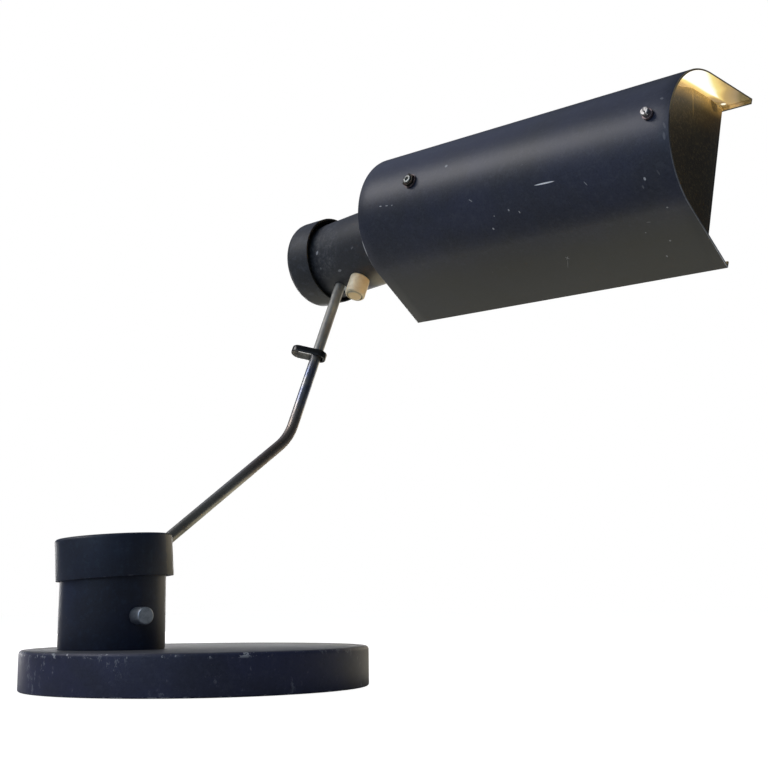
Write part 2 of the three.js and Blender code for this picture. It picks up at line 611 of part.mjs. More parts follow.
// ---- lampholder and bulb ----
const holderFloor = HOLDER_BACK + HOLDER_FLOOR;
const holderFront = HOLDER_BACK + HOLDER_LENGTH;
const holderBore = SCREW_SHELL_R + CLEAR;
piece(head, 'lampholder', along(X_AXIS, turned([
  [SPINDLE_R + CLEAR, HOLDER_BACK], [HOLDER_R - HOLDER_EDGE, HOLDER_BACK],
  [HOLDER_R, HOLDER_BACK + HOLDER_EDGE], [HOLDER_R, holderFront],
  [holderBore, holderFront], [holderBore, holderFloor],
  [SPINDLE_R + CLEAR, holderFloor], [SPINDLE_R + CLEAR, HOLDER_BACK],
], 32)), BAKELITE);
const shellInner = SCREW_SHELL_R - SCREW_SHELL_T;
const shellBack = holderFloor + CLEAR;
const shellFront = holderFront - SHELL_SHORT;
piece(head, 'screw_shell', along(X_AXIS, turned([
  [2 * CONTACT_R, shellBack], [SCREW_SHELL_R, shellBack], [SCREW_SHELL_R, shellFront],
  [shellInner, shellFront], [shellInner, shellBack + SHELL_FLOOR_T],
  [2 * CONTACT_R, shellBack + SHELL_FLOOR_T], [2 * CONTACT_R, shellBack],
], 28)), BRASS);
const contactFrom = spindleTo + CLEAR;
const contactTo = holderFloor + CONTACT_H;
piece(head, 'centre_contact', along(X_AXIS, rod(CONTACT_R, contactFrom, contactTo, 20)), BRASS);
const bulbBack = contactTo + CLEAR;
const bulbFront = bulbBack + BULB_CAP_LENGTH + BULB_LENGTH;
const glassBack = bulbBack + BULB_CAP_LENGTH;
piece(head, 'bulb_cap', along(X_AXIS, turned([
  [0, bulbBack], [BULB_TIP_R, bulbBack], [BULB_CAP_R, bulbBack + BULB_TIP_R],
  [BULB_CAP_R, glassBack - SEAT], [0, glassBack - SEAT],
], 28)), BRASS);
const bulbCentre = bulbFront - BULB_R;
const glassProfile = [
  [0, glassBack], [BULB_CAP_R, glassBack], [BULB_NECK_R, glassBack + BULB_NECK_H],
  [BULB_SHOULDER_R, glassBack + BULB_SHOULDER_H],
];
const globeSteps = 12;
for (let i = 0; i <= globeSteps; i += 1) {
  const angle = (BULB_NECK_DEG + ((90 - BULB_NECK_DEG) * i) / globeSteps) * RAD;
  glassProfile.push([i === globeSteps ? 0 : BULB_R * Math.cos(angle), bulbCentre + BULB_R * Math.sin(angle)]);
}
piece(head, 'bulb_glass', along(X_AXIS, turned(glassProfile, 28)), GLASS);

// ---- trough shade: (s, m, n) = along its axis, towards its mouth, across ----
const splay = SHADE_SPLAY_DEG * RAD;
const legTip = {
  m: -SHADE_R * Math.sin(splay) + SHADE_LEG * Math.cos(splay),
  n: SHADE_R * Math.cos(splay) + SHADE_LEG * Math.sin(splay),
};
function sideAt(m, radius) { // distance across, on a flat side drawn from an arc of this radius
  return radius * Math.cos(splay) + (m + radius * Math.sin(splay)) * Math.tan(splay);
}
function trough(radius, tipM, lip = null) {
  const side = [[tipM, sideAt(tipM, radius)]];
  if (lip) side.unshift([tipM, side[0][1] - lip]);
  const arc = [];
  const steps = 26;
  for (let i = 0; i <= steps; i += 1) {
    const angle = Math.PI / 2 + splay + (i / steps) * (Math.PI - 2 * splay);
    arc.push([radius * Math.cos(angle), radius * Math.sin(angle)]);
  }
  return [...side, ...arc, ...side.map(([m, n]) => [m, -n]).reverse()];
}
const toShape = (points) => new THREE.Shape(points.map(([m, n]) => new THREE.Vector2(m, n)));
function drawnOut(points, s0, s1) {
  return new THREE.ExtrudeGeometry(toShape(points), { depth: s1 - s0, bevelEnabled: false })
    .applyMatrix4(sectionToX).translate(s0, 0, 0);
}
const outer = trough(SHADE_R, legTip.m, LIP);
const inner = trough(SHADE_R - SHEET, legTip.m - SHEET);
const lipN = outer[0][1];
const innerWall = [[legTip.m - SHEET, lipN], ...inner, [legTip.m - SHEET, -lipN]];
const minusY = new THREE.Vector3(0, -1, 0);
const ridgeHole = (s, radius) => along(minusY, rod(radius, SHADE_R - RIDGE_CUT, SHADE_R + RIDGE_CUT))
  .translate(s, 0, 0);
piece(shade, 'shade', cut(
  drawnOut([...outer, ...innerWall.reverse()], 0, SHADE_LENGTH),
  moved(ridgeHole(REAR_BOLT_S, BOLT_R + CLEAR), ridge, shade),
  moved(ridgeHole(FRONT_SCREW_S, M3_R + CLEAR), ridge, shade),
), NAVY);

// Strap from the tube to the shade's ridge.
const ridgeM = SHADE_R - SHEET;
const underRidge = (width) => Math.sqrt((ridgeM - CLEAR) ** 2 - (width / 2) ** 2); // flat face inside the arc
const strapOuter = underRidge(STRAP_W);
const footX = SHADE_X + (FOOT_FROM + FOOT_TO) / 2;
const tubeAxis = ridge.worldToLocal(head.localToWorld(new THREE.Vector3(footX, 0, 0)));
const footOuter = TUBE_R - tubeAxis.y + FOOT_RISE;
const footInner = footOuter - FOOT_DEPTH;
const strapSide = new THREE.Shape([
  [FOOT_FROM, -footInner], [FOOT_FROM, -footOuter], [FOOT_TO - STRAP_T / 2, -footOuter],
  [FOOT_TO + WEB_RUN, -strapOuter], [REAR_BOLT_S + STRAP_END, -strapOuter],
  [REAR_BOLT_S + STRAP_END, -strapOuter + STRAP_T], [FOOT_TO + WEB_RUN + STRAP_T / 2, -strapOuter + STRAP_T],
  [FOOT_TO, -footOuter + STRAP_T], [FOOT_TO, -footInner],
].map(([s, m]) => new THREE.Vector2(s, m)));
const strapBlank = new THREE.ExtrudeGeometry(strapSide, { depth: STRAP_W, bevelEnabled: false })
  .translate(0, 0, -STRAP_W / 2);
const tubeEnvelope = along(X_AXIS, rod(TUBE_R + CLEAR, SHADE_X, footX + FOOT_TO, 56));
piece(ridge, 'shade_strap', cut(
  strapBlank,
  moved(tubeEnvelope, head, ridge),
  ridgeHole(REAR_BOLT_S, BOLT_R + CLEAR),
  ...rivetsX.map((x) => rivetHole(x, ridge)),
), STEEL);

rivetsX.forEach((x, i) => {
  const headTop = tubeBoreR - RIVET_SEAT;
  const headFrom = headTop - RIVET_HEAD_H;
  const outHead = TUBE_R + FOOT_RISE + RIVET_LIFT;
  piece(mouth, `strap_rivet_${i + 1}`, along(rivetAim, turned([
    [0, headFrom], [RIVET_HEAD_R, headFrom], [RIVET_HEAD_R, headTop], [RIVET_R, headTop], [RIVET_R, outHead],
    [RIVET_HEAD_R, outHead], [RIVET_R + CLEAR, outHead + RIVET_HEAD_H], [0, outHead + RIVET_HEAD_H],
  ], 20)).translate(x, 0, 0), STEEL);
});

// Rear bolt: head inside, washer, nut and stud end on the ridge.
const onRidge = (s, profile, segments = 24) => along(minusY, turned(profile, segments)).translate(s, 0, 0);
const boltSeat = strapOuter - STRAP_T - CLEAR;
const boltTop = SHADE_R + BOLT_STANDS;
const washerBottom = SHADE_R + CLEAR;
piece(ridge, 'rear_bolt', onRidge(REAR_BOLT_S, [
  [0, boltSeat - BOLT_HEAD_H], [BOLT_HEAD_R, boltSeat - BOLT_HEAD_H], [BOLT_HEAD_R, boltSeat],
  [BOLT_R, boltSeat], [BOLT_R, boltTop - TIP_CHAMFER], [BOLT_R - TIP_CHAMFER, boltTop], [0, boltTop],
]), STEEL);
piece(ridge, 'rear_washer', onRidge(REAR_BOLT_S, [
  [BOLT_R + CLEAR, washerBottom], [BOLT_WASHER_R, washerBottom],
  [BOLT_WASHER_R, washerBottom + BOLT_WASHER_T], [BOLT_R + CLEAR, washerBottom + BOLT_WASHER_T],
  [BOLT_R + CLEAR, washerBottom],
]), STEEL);
const rearNutFrom = washerBottom + BOLT_WASHER_T + SEAT;
piece(frame(ridge, [REAR_BOLT_S, 0, 0], [[X_AXIS, 90]]), 'rear_nut',
  nut(BOLT_NUT_AF, BOLT_R + CLEAR, rearNutFrom, rearNutFrom + BOLT_NUT_T), STEEL);

// Front screw: cheese head and washer on the ridge, nut under the baffle's tab.
const tabOuter = underRidge(TAB_W);
const nutTop = tabOuter - BAFFLE_T - SEAT;
const frontFoot = nutTop - FRONT_NUT_T - 1;
const frontSeat = washerBottom + FRONT_WASHER_T + SEAT;
const frontTop = SHADE_R + FRONT_STANDS;
const frontFixing = frame(ridge, [FRONT_SCREW_S, 0, 0], [[X_AXIS, 90]]); // Z away from the ridge
piece(frontFixing, 'front_screw', cut(turned([
  [0, frontFoot], [M3_R, frontFoot], [M3_R, frontSeat], [FRONT_HEAD_R, frontSeat],
  [FRONT_HEAD_R, frontTop - TIP_CHAMFER], [FRONT_HEAD_R - TIP_CHAMFER, frontTop], [0, frontTop],
], 24), screwSlot(frontTop)), STEEL);
piece(frontFixing, 'front_washer', ring(
  M3_R + CLEAR, FRONT_WASHER_R, washerBottom, washerBottom + FRONT_WASHER_T, 24,
), STEEL);
piece(frontFixing, 'front_nut', nut(FRONT_NUT_AF, M3_R + CLEAR, nutTop - FRONT_NUT_T, nutTop), STEEL);

// End baffle: a plate across the trough, held by its tab at the ridge.
const baffleEdge = [];
const plateR = SHADE_R - SHEET - BAFFLE_SIDE_GAP;
const [freeFar, freeNear] = BAFFLE_FREE_M;
const [[farN, farM], [nearN, nearM]] = BAFFLE_CORNERS;
const shoulderN = sideAt(BAFFLE_SHOULDER_M, plateR);
baffleEdge.push([freeFar, farN], [farM, sideAt(farM, plateR)], [BAFFLE_SHOULDER_M, shoulderN]);
const arcSteps = 16;
for (let i = 0; i <= arcSteps; i += 1) {
  const angle = (BAFFLE_ARC_FROM_DEG + (2 * (180 - BAFFLE_ARC_FROM_DEG) * i) / arcSteps) * RAD;
  baffleEdge.push([BAFFLE_APEX_R * Math.cos(angle), BAFFLE_APEX_R * Math.sin(angle)]);
}
baffleEdge.push([BAFFLE_SHOULDER_M, -shoulderN], [nearM, -sideAt(nearM, plateR)], [freeNear, -nearN]);
const tab = (toX, innerM) => box(0, toX, -tabOuter, innerM, -TAB_W / 2, TAB_W / 2);
const tabUpright = tab(BAFFLE_T, -BAFFLE_APEX_R + TAB_W / 3);
const tabAlong = tab(FRONT_SCREW_S - BAFFLE_S + TAB_END, -tabOuter + BAFFLE_T);
piece(baffle, 'end_baffle', cut(
  join(
    drawnOut(baffleEdge, 0, BAFFLE_T),
    moved(tabUpright, baffleRidge, baffle),
    moved(tabAlong, baffleRidge, baffle),
  ),
  moved(ridgeHole(FRONT_SCREW_S, M3_R + CLEAR), ridge, baffle),
), DARK_SHEET);

export default lamp;
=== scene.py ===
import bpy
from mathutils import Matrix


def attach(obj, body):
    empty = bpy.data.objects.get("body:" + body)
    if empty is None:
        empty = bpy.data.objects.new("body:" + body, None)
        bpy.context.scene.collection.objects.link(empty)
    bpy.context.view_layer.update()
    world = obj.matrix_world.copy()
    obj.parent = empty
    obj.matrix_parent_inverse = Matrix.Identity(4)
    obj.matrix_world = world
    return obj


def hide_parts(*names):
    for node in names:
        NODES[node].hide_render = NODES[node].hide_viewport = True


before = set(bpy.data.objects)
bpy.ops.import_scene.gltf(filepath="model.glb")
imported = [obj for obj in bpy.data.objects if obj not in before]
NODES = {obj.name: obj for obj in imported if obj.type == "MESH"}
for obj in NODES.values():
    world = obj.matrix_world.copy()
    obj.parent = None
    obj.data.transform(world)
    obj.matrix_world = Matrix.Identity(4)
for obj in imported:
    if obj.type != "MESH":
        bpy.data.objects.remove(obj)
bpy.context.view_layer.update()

import math

import bmesh
import bpy
from mathutils import Matrix, Vector

MM = 0.001
DEGREES = 180 / math.pi

# ---- sizes, in millimetres and degrees ----
# Base: the disc, its felt pad, the cup on it, the cup's tilted cap and the clamp knob.
DISC_R, DISC_H, DISC_LIFT, PAD_R, PAD_H = 100.0, 23.0, 0.4, 94.0, 2.0
POST_OFFSET, POST_R, POST_WALL, POST_TOP, POST_FLOOR_Z = 50.0, 29.9, 3.0, 73.4, 31.05
CAP_R, CAP_WALL, CAP_RIM_Z, CAP_TOP_Z, CAP_EDGE = 33.1, 1.4, 62.4, 86.1, 2.0
CAP_TILT, CAP_TILT_TOWARDS, CAP_PIVOT_Z = 3.2, -44.5, 84.0
KNOB_Z, KNOB_AZIMUTH, KNOB_R, KNOB_LENGTH, KNOB_THREAD_R, KNOB_TIP = 41.5, -77.0, 4.8, 10.8, 2.5, 22.8
# Rod: it rises out of the cap, bends once and carries the head.
SWIVEL, ROD_R, ROD_START_Z, ROD_TAIL, RISE = 19.5, 3.56, 58.9, 14.0, 36.1
LOWER_ROD, BEND, BEND_RADIUS, UPPER_ROD, ROD_NOSE = 162.0, 29.0, 39.0, 150.0, 8.0
ARM_ROLL, HEAD_TURN = 6.5, -85.0
CLIP_AT, CLIP_TURN, CLIP_SPAN, CLIP_SHIFT, CLIP_WALL, CLIP_H = 65.0, -137.0, 13.7, 1.6, 1.3, 4.5
# Head: the tube, the slot that the rod turns in, the cap behind it and the push switch.
TUBE_R, TUBE_WALL, TUBE_BACK, TUBE_FRONT = 26.5, 1.0, -19.0, 94.0
SLOT_HALF, SLOT_SWEEP = ROD_R + 0.5, 90.0
HEAD_CAP_R, HEAD_CAP_WALL, HEAD_CAP_EDGE, HEAD_CAP_LEAN = 30.3, 1.4, 5.8, 4.4
HEAD_CAP_RIM, HEAD_CAP_LENGTH = 13.3, 22.4
SWITCH_X, COLLAR_R, COLLAR_FOOT, COLLAR_TOP = 20.2, 6.9, 23.0, TUBE_R + 13.8
BUTTON_R, BUTTON_TOP, PLUNGER_R, PLUNGER_FOOT, PLUNGER_TOP = 5.0, TUBE_R + 14.5, 2.8, 18.0, 30.5
# Shade: a bent trough with the baffle plate near its front.
MOUTH_ROLL, SHADE_TOE, SHADE_DROOP, RIDGE_TURN = 6.8, 2.7, 3.9, 4.0
SHADE_ORIGIN = (56.2, -3.1, 5.8)
SHADE_LENGTH, SHADE_R, SHADE_LEG, SHADE_SPLAY, SHEET, LIP = 232.5, 46.1, 47.7, 16.2, 1.2, 4.0
SPLAY = math.radians(SHADE_SPLAY)
REAR_BOLT_S, FRONT_SCREW_S, NUT_FLATS = 45.3, 219.5, 8.0
BAFFLE_S, BAFFLE_T, BAFFLE_APEX_R, BAFFLE_TURN, TAB_W, TAB_T = 215.5, 0.9, 41.3, -1.5, 9.0, 0.88
BAFFLE_FAR_CORNER, BAFFLE_NEAR_CORNER = (30.0, 53.2), (32.8, -49.0)
BULB_BACK, BULB_R, BULB_FRONT, BULB_NECK_R = 77.5, 29.0, 155.5, 13.4

# ---- light ----
BULB_GLOW, FLOOR_GLOW, FLOOR_BLEND, ROOM_GLOW = 10.0, 1.94, 0.5, 0.12
LIT_PLACE = Vector((0.1, -0.05, 0.22))  # in metres, what the soft panels face


# ---- the lamp's own frames ----
def place(parent, position, *turns):
    """A frame at a position in its parent, turned by (axis, degrees) one after the other."""
    matrix = parent @ Matrix.Translation(position)
    for axis, degrees in turns:
        matrix = matrix @ Matrix.Rotation(math.radians(degrees), 4, axis)
    return matrix


WORLD = Matrix.Identity(4)
POST = place(WORLD, (-POST_OFFSET, 0, 0))
SWIVEL_FRAME = place(POST, (0, 0, 0), ("Z", SWIVEL))
CAP_FRAME = place(
    SWIVEL_FRAME, (0, 0, CAP_PIVOT_Z), ("Z", CAP_TILT_TOWARDS), ("Y", -CAP_TILT), ("Z", -CAP_TILT_TOWARDS))
ARM = place(SWIVEL_FRAME, (0, 0, ROD_START_Z), ("Y", -RISE), ("X", -ARM_ROLL))
UPPER = place(ARM, (LOWER_ROD, 0, 0), ("Y", 90 - BEND), ("Z", HEAD_TURN))
HEAD = place(UPPER, (0, 0, UPPER_ROD))
CLIP_FRAME = place(UPPER, (0, 0, CLIP_AT), ("Z", CLIP_TURN))
SWITCH = place(HEAD, (SWITCH_X, 0, 0), ("X", 180))
MOUTH = place(HEAD, (0, 0, 0), ("X", MOUTH_ROLL))
# In SHADE, s runs along the trough (X), m from its ridge to its mouth (Y) and n across it (Z).
SHADE = place(MOUTH, SHADE_ORIGIN, ("Z", SHADE_TOE), ("Y", SHADE_DROOP))
RIDGE = place(SHADE, (0, 0, 0), ("X", RIDGE_TURN))
KNOB = place(POST, (0, 0, KNOB_Z), ("Z", KNOB_AZIMUTH), ("Y", 90))
BAFFLE_FRAME = place(SHADE, (BAFFLE_S, 0, 0), ("Y", BAFFLE_TURN))
HEAD_BACK = place(HEAD, (0, 0, 0), ("Z", HEAD_CAP_LEAN), ("Y", -90))  # Z out through the head cap
HEAD_FRONT = place(HEAD, (0, 0, 0), ("Y", 90))  # Z along the tube, towards the shade


# ---- camera: its place in metres, and its axes ----
SENSOR, LENS = 36.0, 60.88
EYE = Vector((-0.226339, -0.744661, 0.044418))
TO_THE_RIGHT = Vector((0.906499, -0.422076, -0.010528))
DOWNWARDS = Vector((0.062260, 0.158296, -0.985427))
AHEAD = Vector((0.417591, 0.892633, 0.169773))


def into_scene(name, data):
    """A new object of the scene, from a mesh, a light or a camera."""
    made = bpy.data.objects.new(name, data)
    bpy.context.scene.collection.objects.link(made)
    return made


def make_camera():
    """The scene's camera."""
    data = bpy.data.cameras.new("camera")
    data.sensor_width, data.lens = SENSOR, LENS
    data.clip_start, data.clip_end = 0.02, 50.0
    camera = into_scene("camera", data)
    bpy.context.scene.camera = camera
    turn = Matrix((TO_THE_RIGHT, -DOWNWARDS, -AHEAD)).transposed().to_4x4()
    camera.matrix_world = Matrix.Translation(EYE) @ turn


make_camera()


# ---- shader helpers ----
def math_node(operation, flipped=False):
    """An operator that adds a Math node; flipped, the wire is its second value."""
    def act(wire, *other):
        values = (*other, wire) if flipped else (wire, *other)
        return wire.finish.node("ShaderNodeMath", {"operation": operation}, *values)
    return act


class Wire:
    """A socket of a finish's node tree; arithmetic on it adds Math nodes."""

    def __init__(self, finish, socket):
        self.finish = finish
        self.socket = socket

    __add__ = __radd__ = math_node("ADD")
    __sub__ = math_node("SUBTRACT")
    __rsub__ = math_node("SUBTRACT", flipped=True)
    __mul__ = __rmul__ = math_node("MULTIPLY")
    __truediv__ = math_node("DIVIDE")
    __rtruediv__ = math_node("DIVIDE", flipped=True)
    __pow__ = math_node("POWER")
    __lt__ = math_node("LESS_THAN")
    __abs__ = math_node("ABSOLUTE")
    top = math_node("MAXIMUM")
    least = math_node("MINIMUM")

    def __neg__(self):
        return self * -1.0


class Finish:
    """A procedural material: a Principled shader fed by wires."""

    def __init__(self, name):
        self.material = bpy.data.materials.new(name)
        self.material.use_nodes = True
        self.tree = self.material.node_tree
        self.shader = self.tree.nodes["Principled BSDF"]

    def put(self, socket, value):
        """Links a wire to a socket, or sets the socket; a colour gets its alpha."""
        if isinstance(value, Wire):
            self.tree.links.new(value.socket, socket)
        else:
            socket.default_value = (*value, 1.0) if socket.type == "RGBA" else value

    def node(self, kind, settings=None, *values, output=0, **named):
        """A node of a kind, with its settings first, then its sockets by number and by name."""
        made = self.tree.nodes.new(kind)
        for key, value in (settings or {}).items():
            if key == "stops":
                ramp = made.color_ramp
                while len(ramp.elements) < len(value):
                    ramp.elements.new(0.5)
                for element, (position, color) in zip(ramp.elements, value):
                    element.position = position
                    element.color = (*color, 1.0)
            else:
                setattr(made, key, value)
        for key, value in enumerate(values):
            self.put(made.inputs[key], value)
        for key, value in named.items():
            self.put(made.inputs[key.replace("_", " ")], value)
        return Wire(self, made.outputs[output])

    def where(self, matrix=WORLD):
        """Object coordinates in millimetres of the frame given by matrix."""
        coords = self.node("ShaderNodeTexCoord", output="Object")
        return self.node(
            "ShaderNodeMapping", {"vector_type": "TEXTURE"}, coords,
            Location=[c * MM for c in matrix.to_translation()],
            Rotation=list(matrix.to_euler("XYZ")), Scale=(MM, MM, MM))

    def split(self, vector):
        """The three numbers of a vector."""
        made = self.tree.nodes.new("ShaderNodeSeparateXYZ")
        self.put(made.inputs[0], vector)
        return [Wire(self, socket) for socket in made.outputs]

    def pair(self, a, b):
        """A place on a surface laid flat, from two numbers."""
        return self.node("ShaderNodeCombineXYZ", {}, a, b)

    def length(self, vector):
        """How long a vector is."""
        return self.node("ShaderNodeVectorMath", {"operation": "LENGTH"}, vector, output=1)

    def radius(self, a, b):
        """The distance from the axis that a and b are measured from."""
        return self.length(self.pair(a, b))

    def bearing(self, a, b):
        """The angle whose tangent is a / b, in radians, right round the circle."""
        return self.node("ShaderNodeMath", {"operation": "ARCTAN2"}, a, b)

    def noise(self, where, scale, detail=4.0, rough=0.6, stretch=None):
        """Noise about 1 / scale millimetres across, longer where stretch is below 1."""
        if stretch:
            where = self.node("ShaderNodeMapping", {}, where, Scale=stretch)
        return self.node("ShaderNodeTexNoise", {}, Vector=where, Scale=scale, Detail=detail, Roughness=rough)

    def step(self, value, low, high):
        """0 below low, 1 above high."""
        return self.node("ShaderNodeMapRange", {"interpolation_type": "SMOOTHSTEP"}, value, low, high)

    def mix(self, factor, a, b):
        """The colour a, turned to b by the factor."""
        made = self.tree.nodes.new("ShaderNodeMix")
        made.data_type = "RGBA"
        for key, value in ((0, factor), (6, a), (7, b)):
            self.put(made.inputs[key], value)
        return Wire(self, made.outputs[2])

    def feed(self, **sockets):
        """Sets the shader's own sockets."""
        for key, value in sockets.items():
            self.put(self.shader.inputs[key.replace("_", " ")], value)
        return self

    def bump(self, height, strength=0.3, distance=0.0002):
        """A normal from a height, with the distance in metres."""
        return self.node("ShaderNodeBump", {}, Strength=strength, Distance=distance, Height=height)


def scratches(finish, where, scale, angle, amount):
    """Thin straight scratches: a stretched noise kept only at its ridge, broken up by a second one."""
    lying = finish.node(
        "ShaderNodeMapping", {}, where, Rotation=(0.3, angle, angle * 0.7), Scale=(1.0, 0.03, 1.0))
    ridge = abs(finish.noise(lying, scale, 2.0) - 0.5)
    line = 1.0 - finish.step(ridge, 0.0, 0.004)
    patch = finish.step(finish.noise(where, scale * 0.25, 2.0), 1.0 - amount, 1.04 - amount)
    return line * patch


def specks(finish, where, scale, size, amount):
    """Small chips: the cores of scattered cells, only in some places."""
    cells = finish.node("ShaderNodeTexVoronoi", {}, Vector=where, Scale=scale)
    core = 1.0 - finish.step(cells, size * 0.6, size)
    patch = finish.step(finish.noise(where, scale * 0.37, 1.0), 1.0 - amount, 1.05 - amount)
    return core * patch


def stroke(finish, across, at, length, width, angle=0.0):
    """One scratch or chip on a surface laid flat: an ellipse in millimetres with soft ends."""
    local = finish.node(
        "ShaderNodeMapping", {"vector_type": "TEXTURE"}, across,
        Location=(*at, 0.0), Rotation=(0.0, 0.0, math.radians(angle)), Scale=(length / 2, width / 2, 1.0))
    return 1.0 - finish.step(finish.length(local), 0.55, 1.0)


def strokes(finish, across, marks, gain=1.0):
    """Scratches and chips from a list: place along and around, length, width, lean, strength."""
    return [
        stroke(finish, across, (along, around), length, width, lean) * (strength * gain)
        for along, around, length, width, lean, strength in marks]


def strongest(masks):
    """The highest of some masks at each place."""
    total = masks[0]
    for other in masks[1:]:
        total = total.top(other)
    return total


# ---- finishes ----
BARE_GREY, BRIGHT_METAL, PORE_BLACK = (0.46, 0.47, 0.50), (0.95, 0.95, 0.97), (0.004, 0.005, 0.008)


def dark_paint(name, matrix, dark, blue, chips, rough, marks, scuffs, worn=None, tint=None,
               haze=(0.078, 0.088, 0.112)):
    """Old satin paint, near-black with a blue cast, clouded and pebbled, scratched and chipped to grey."""
    finish = Finish(name)
    here = finish.where(matrix)
    cloud = finish.noise(here, 0.025, 5.0, 0.6)
    mottle = finish.noise(here, 0.22, 5.0, 0.8)
    grain = finish.noise(here, 0.75, 3.0, 0.8)
    color = finish.mix(finish.step(cloud, 0.3, 0.7), dark, blue)
    color = finish.mix(finish.step(mottle, 0.5, 0.66) * scuffs, color, haze)
    color = finish.mix(finish.step(grain, 0.48, 0.8) * 0.4, color, tuple(c * 0.8 for c in haze))
    color = finish.mix((1.0 - finish.step(grain, 0.25, 0.5)) * 0.5, color, PORE_BLACK)
    lines = scratches(finish, here, 0.35, 0.5, marks).top(scratches(finish, here, 0.28, 1.9, marks))
    chip = specks(finish, here, 0.11, 0.055, chips)
    bare = (lines * 0.2).top(chip * 0.5)
    if tint is not None:
        color = tint(finish, here, color)
    if worn is not None:
        bare = bare.top(worn(finish, here))
    color = finish.mix(bare.least(1.0), color, BARE_GREY)
    color = finish.mix(finish.step(bare, 1.0, 2.0), color, BRIGHT_METAL)
    pebble = finish.noise(here, 0.8, 2.0)
    height = pebble * 0.3 + grain * 0.2 - bare * 0.6
    return finish.feed(
        Base_Color=color, Roughness=rough + grain * 0.14 + mottle * 0.06, Specular_IOR_Level=0.5,
        Normal=finish.bump(height, 0.34, 0.00014),
    ).material


def rim_wear(radius, z_level, across=1.6, strength=1.0, amount=0.6):
    """Bright wear along a turned edge, uneven round it."""
    def mask(finish, here):
        x, y, z = finish.split(here)
        off = abs(finish.radius(x, y) - radius) + abs(z - z_level)
        ring = 1.0 - finish.step(off, across * 0.3, across)
        broken = finish.step(finish.noise(here, 0.13, 4.0, 0.8), amount, amount + 0.07)
        return ring * broken * strength
    return mask


def together(*masks):
    """Several kinds of wear on one paint."""
    def mask(finish, here):
        return strongest([part(finish, here) for part in masks])
    return mask


def wear_with_left_highlight(wear):
    """Wear that fades towards +X; brighter on the left, it is also a painted highlight from the light on that
    side.
    """
    def mask(finish, here):
        x = finish.split(here)[0]
        return wear(finish, here) * (1.0 - finish.step(x, 5.0, 28.0) * 0.75)
    return mask


def disc_painted_light(finish, here, color):
    """Painted light: a pale sheen on the disc's top, and warm brown light at its +X end."""
    x, _, z = finish.split(here)
    top = finish.step(z, DISC_H - 0.7, DISC_H - 0.2)
    end = finish.step(x, 45.0, 92.0)
    color = finish.mix(top * 0.7, color, finish.mix(end, (0.100, 0.100, 0.104), (0.140, 0.118, 0.080)))
    return finish.mix(end * (1.0 - top) * 0.5, color, (0.050, 0.042, 0.032))


def disc_marks(finish, here):
    """Short grey rubs here and there on the disc's side."""
    x, y, _ = finish.split(here)
    rub = finish.noise(here, 0.30, 4.0, 0.75, stretch=(1.0, 1.0, 0.5))
    patch = finish.step(finish.noise(here, 0.05, 3.0, 0.6), 0.5, 0.62)
    side = finish.step(finish.radius(x, y), DISC_R - 1.0, DISC_R - 0.4)
    return finish.step(rub, 0.56, 0.64) * patch * side * 0.30


# Scratches and chips on the shade, along it and round it from its ridge.
SHADE_MARKS = [
    (149.3, 26.8, 15.6, 1.0, 1.6, 3.0), (94.5, 26.0, 3.6, 0.6, 38, 0.6), (176.5, 32.6, 3.8, 0.6, 55, 0.45),
    (20.5, 14.9, 2.6, 0.7, 8, 0.7), (26.0, 15.7, 2.8, 0.7, 8, 0.6), (30.5, 16.3, 1.6, 0.7, 0, 0.6),
    (74.0, -1.0, 2.6, 2.2, 0, 0.5), (120.5, 37.0, 1.6, 1.1, 60, 0.8), (127.5, 39.6, 1.9, 0.8, 70, 0.7),
    (105.0, 45.9, 1.7, 1.3, 60, 0.9), (109.0, 38.4, 1.1, 0.9, 0, 0.5), (213.5, 37.8, 2.4, 1.7, 80, 0.75),
    (211.0, 42.0, 2.6, 1.4, 80, 0.15), (222.5, 36.2, 4.0, 1.2, 70, 0.1), (229.5, 17.9, 5.5, 2.0, 85, 0.13),
    (229.8, 12.0, 5.0, 1.6, 70, 0.1), (226.0, -6.0, 3.0, 1.8, 30, 0.2), (0.4, 39.5, 13.0, 0.9, 90, 0.8),
    (141.0, 76.8, 3.6, 0.6, 40, 0.3), (141.0, 76.8, 3.6, 0.6, -40, 0.3), (138.7, 80.4, 7.5, 0.45, 125, 0.2),
    (209.5, 78.8, 1.5, 1.1, 0, 0.4), (219.5, 57.1, 1.4, 1.2, 0, 0.5), (204.0, 64.2, 3.2, 0.6, 10, 0.25),
    (202.0, 86.8, 1.4, 1.2, 0, 0.4), (198.5, 70.8, 1.1, 0.9, 0, 0.3),
]


def unrolled(finish, s, m, n):
    """The shade's skin laid flat: along it, and round it from the ridge towards the near side."""
    return finish.pair(s, finish.bearing(-n, -m) * SHADE_R)


def side_reach(m, n):
    """How far out from the ridge's axis a place is, square to the flat side that it is on."""
    return abs(n) * math.cos(SPLAY) - m * math.sin(SPLAY)


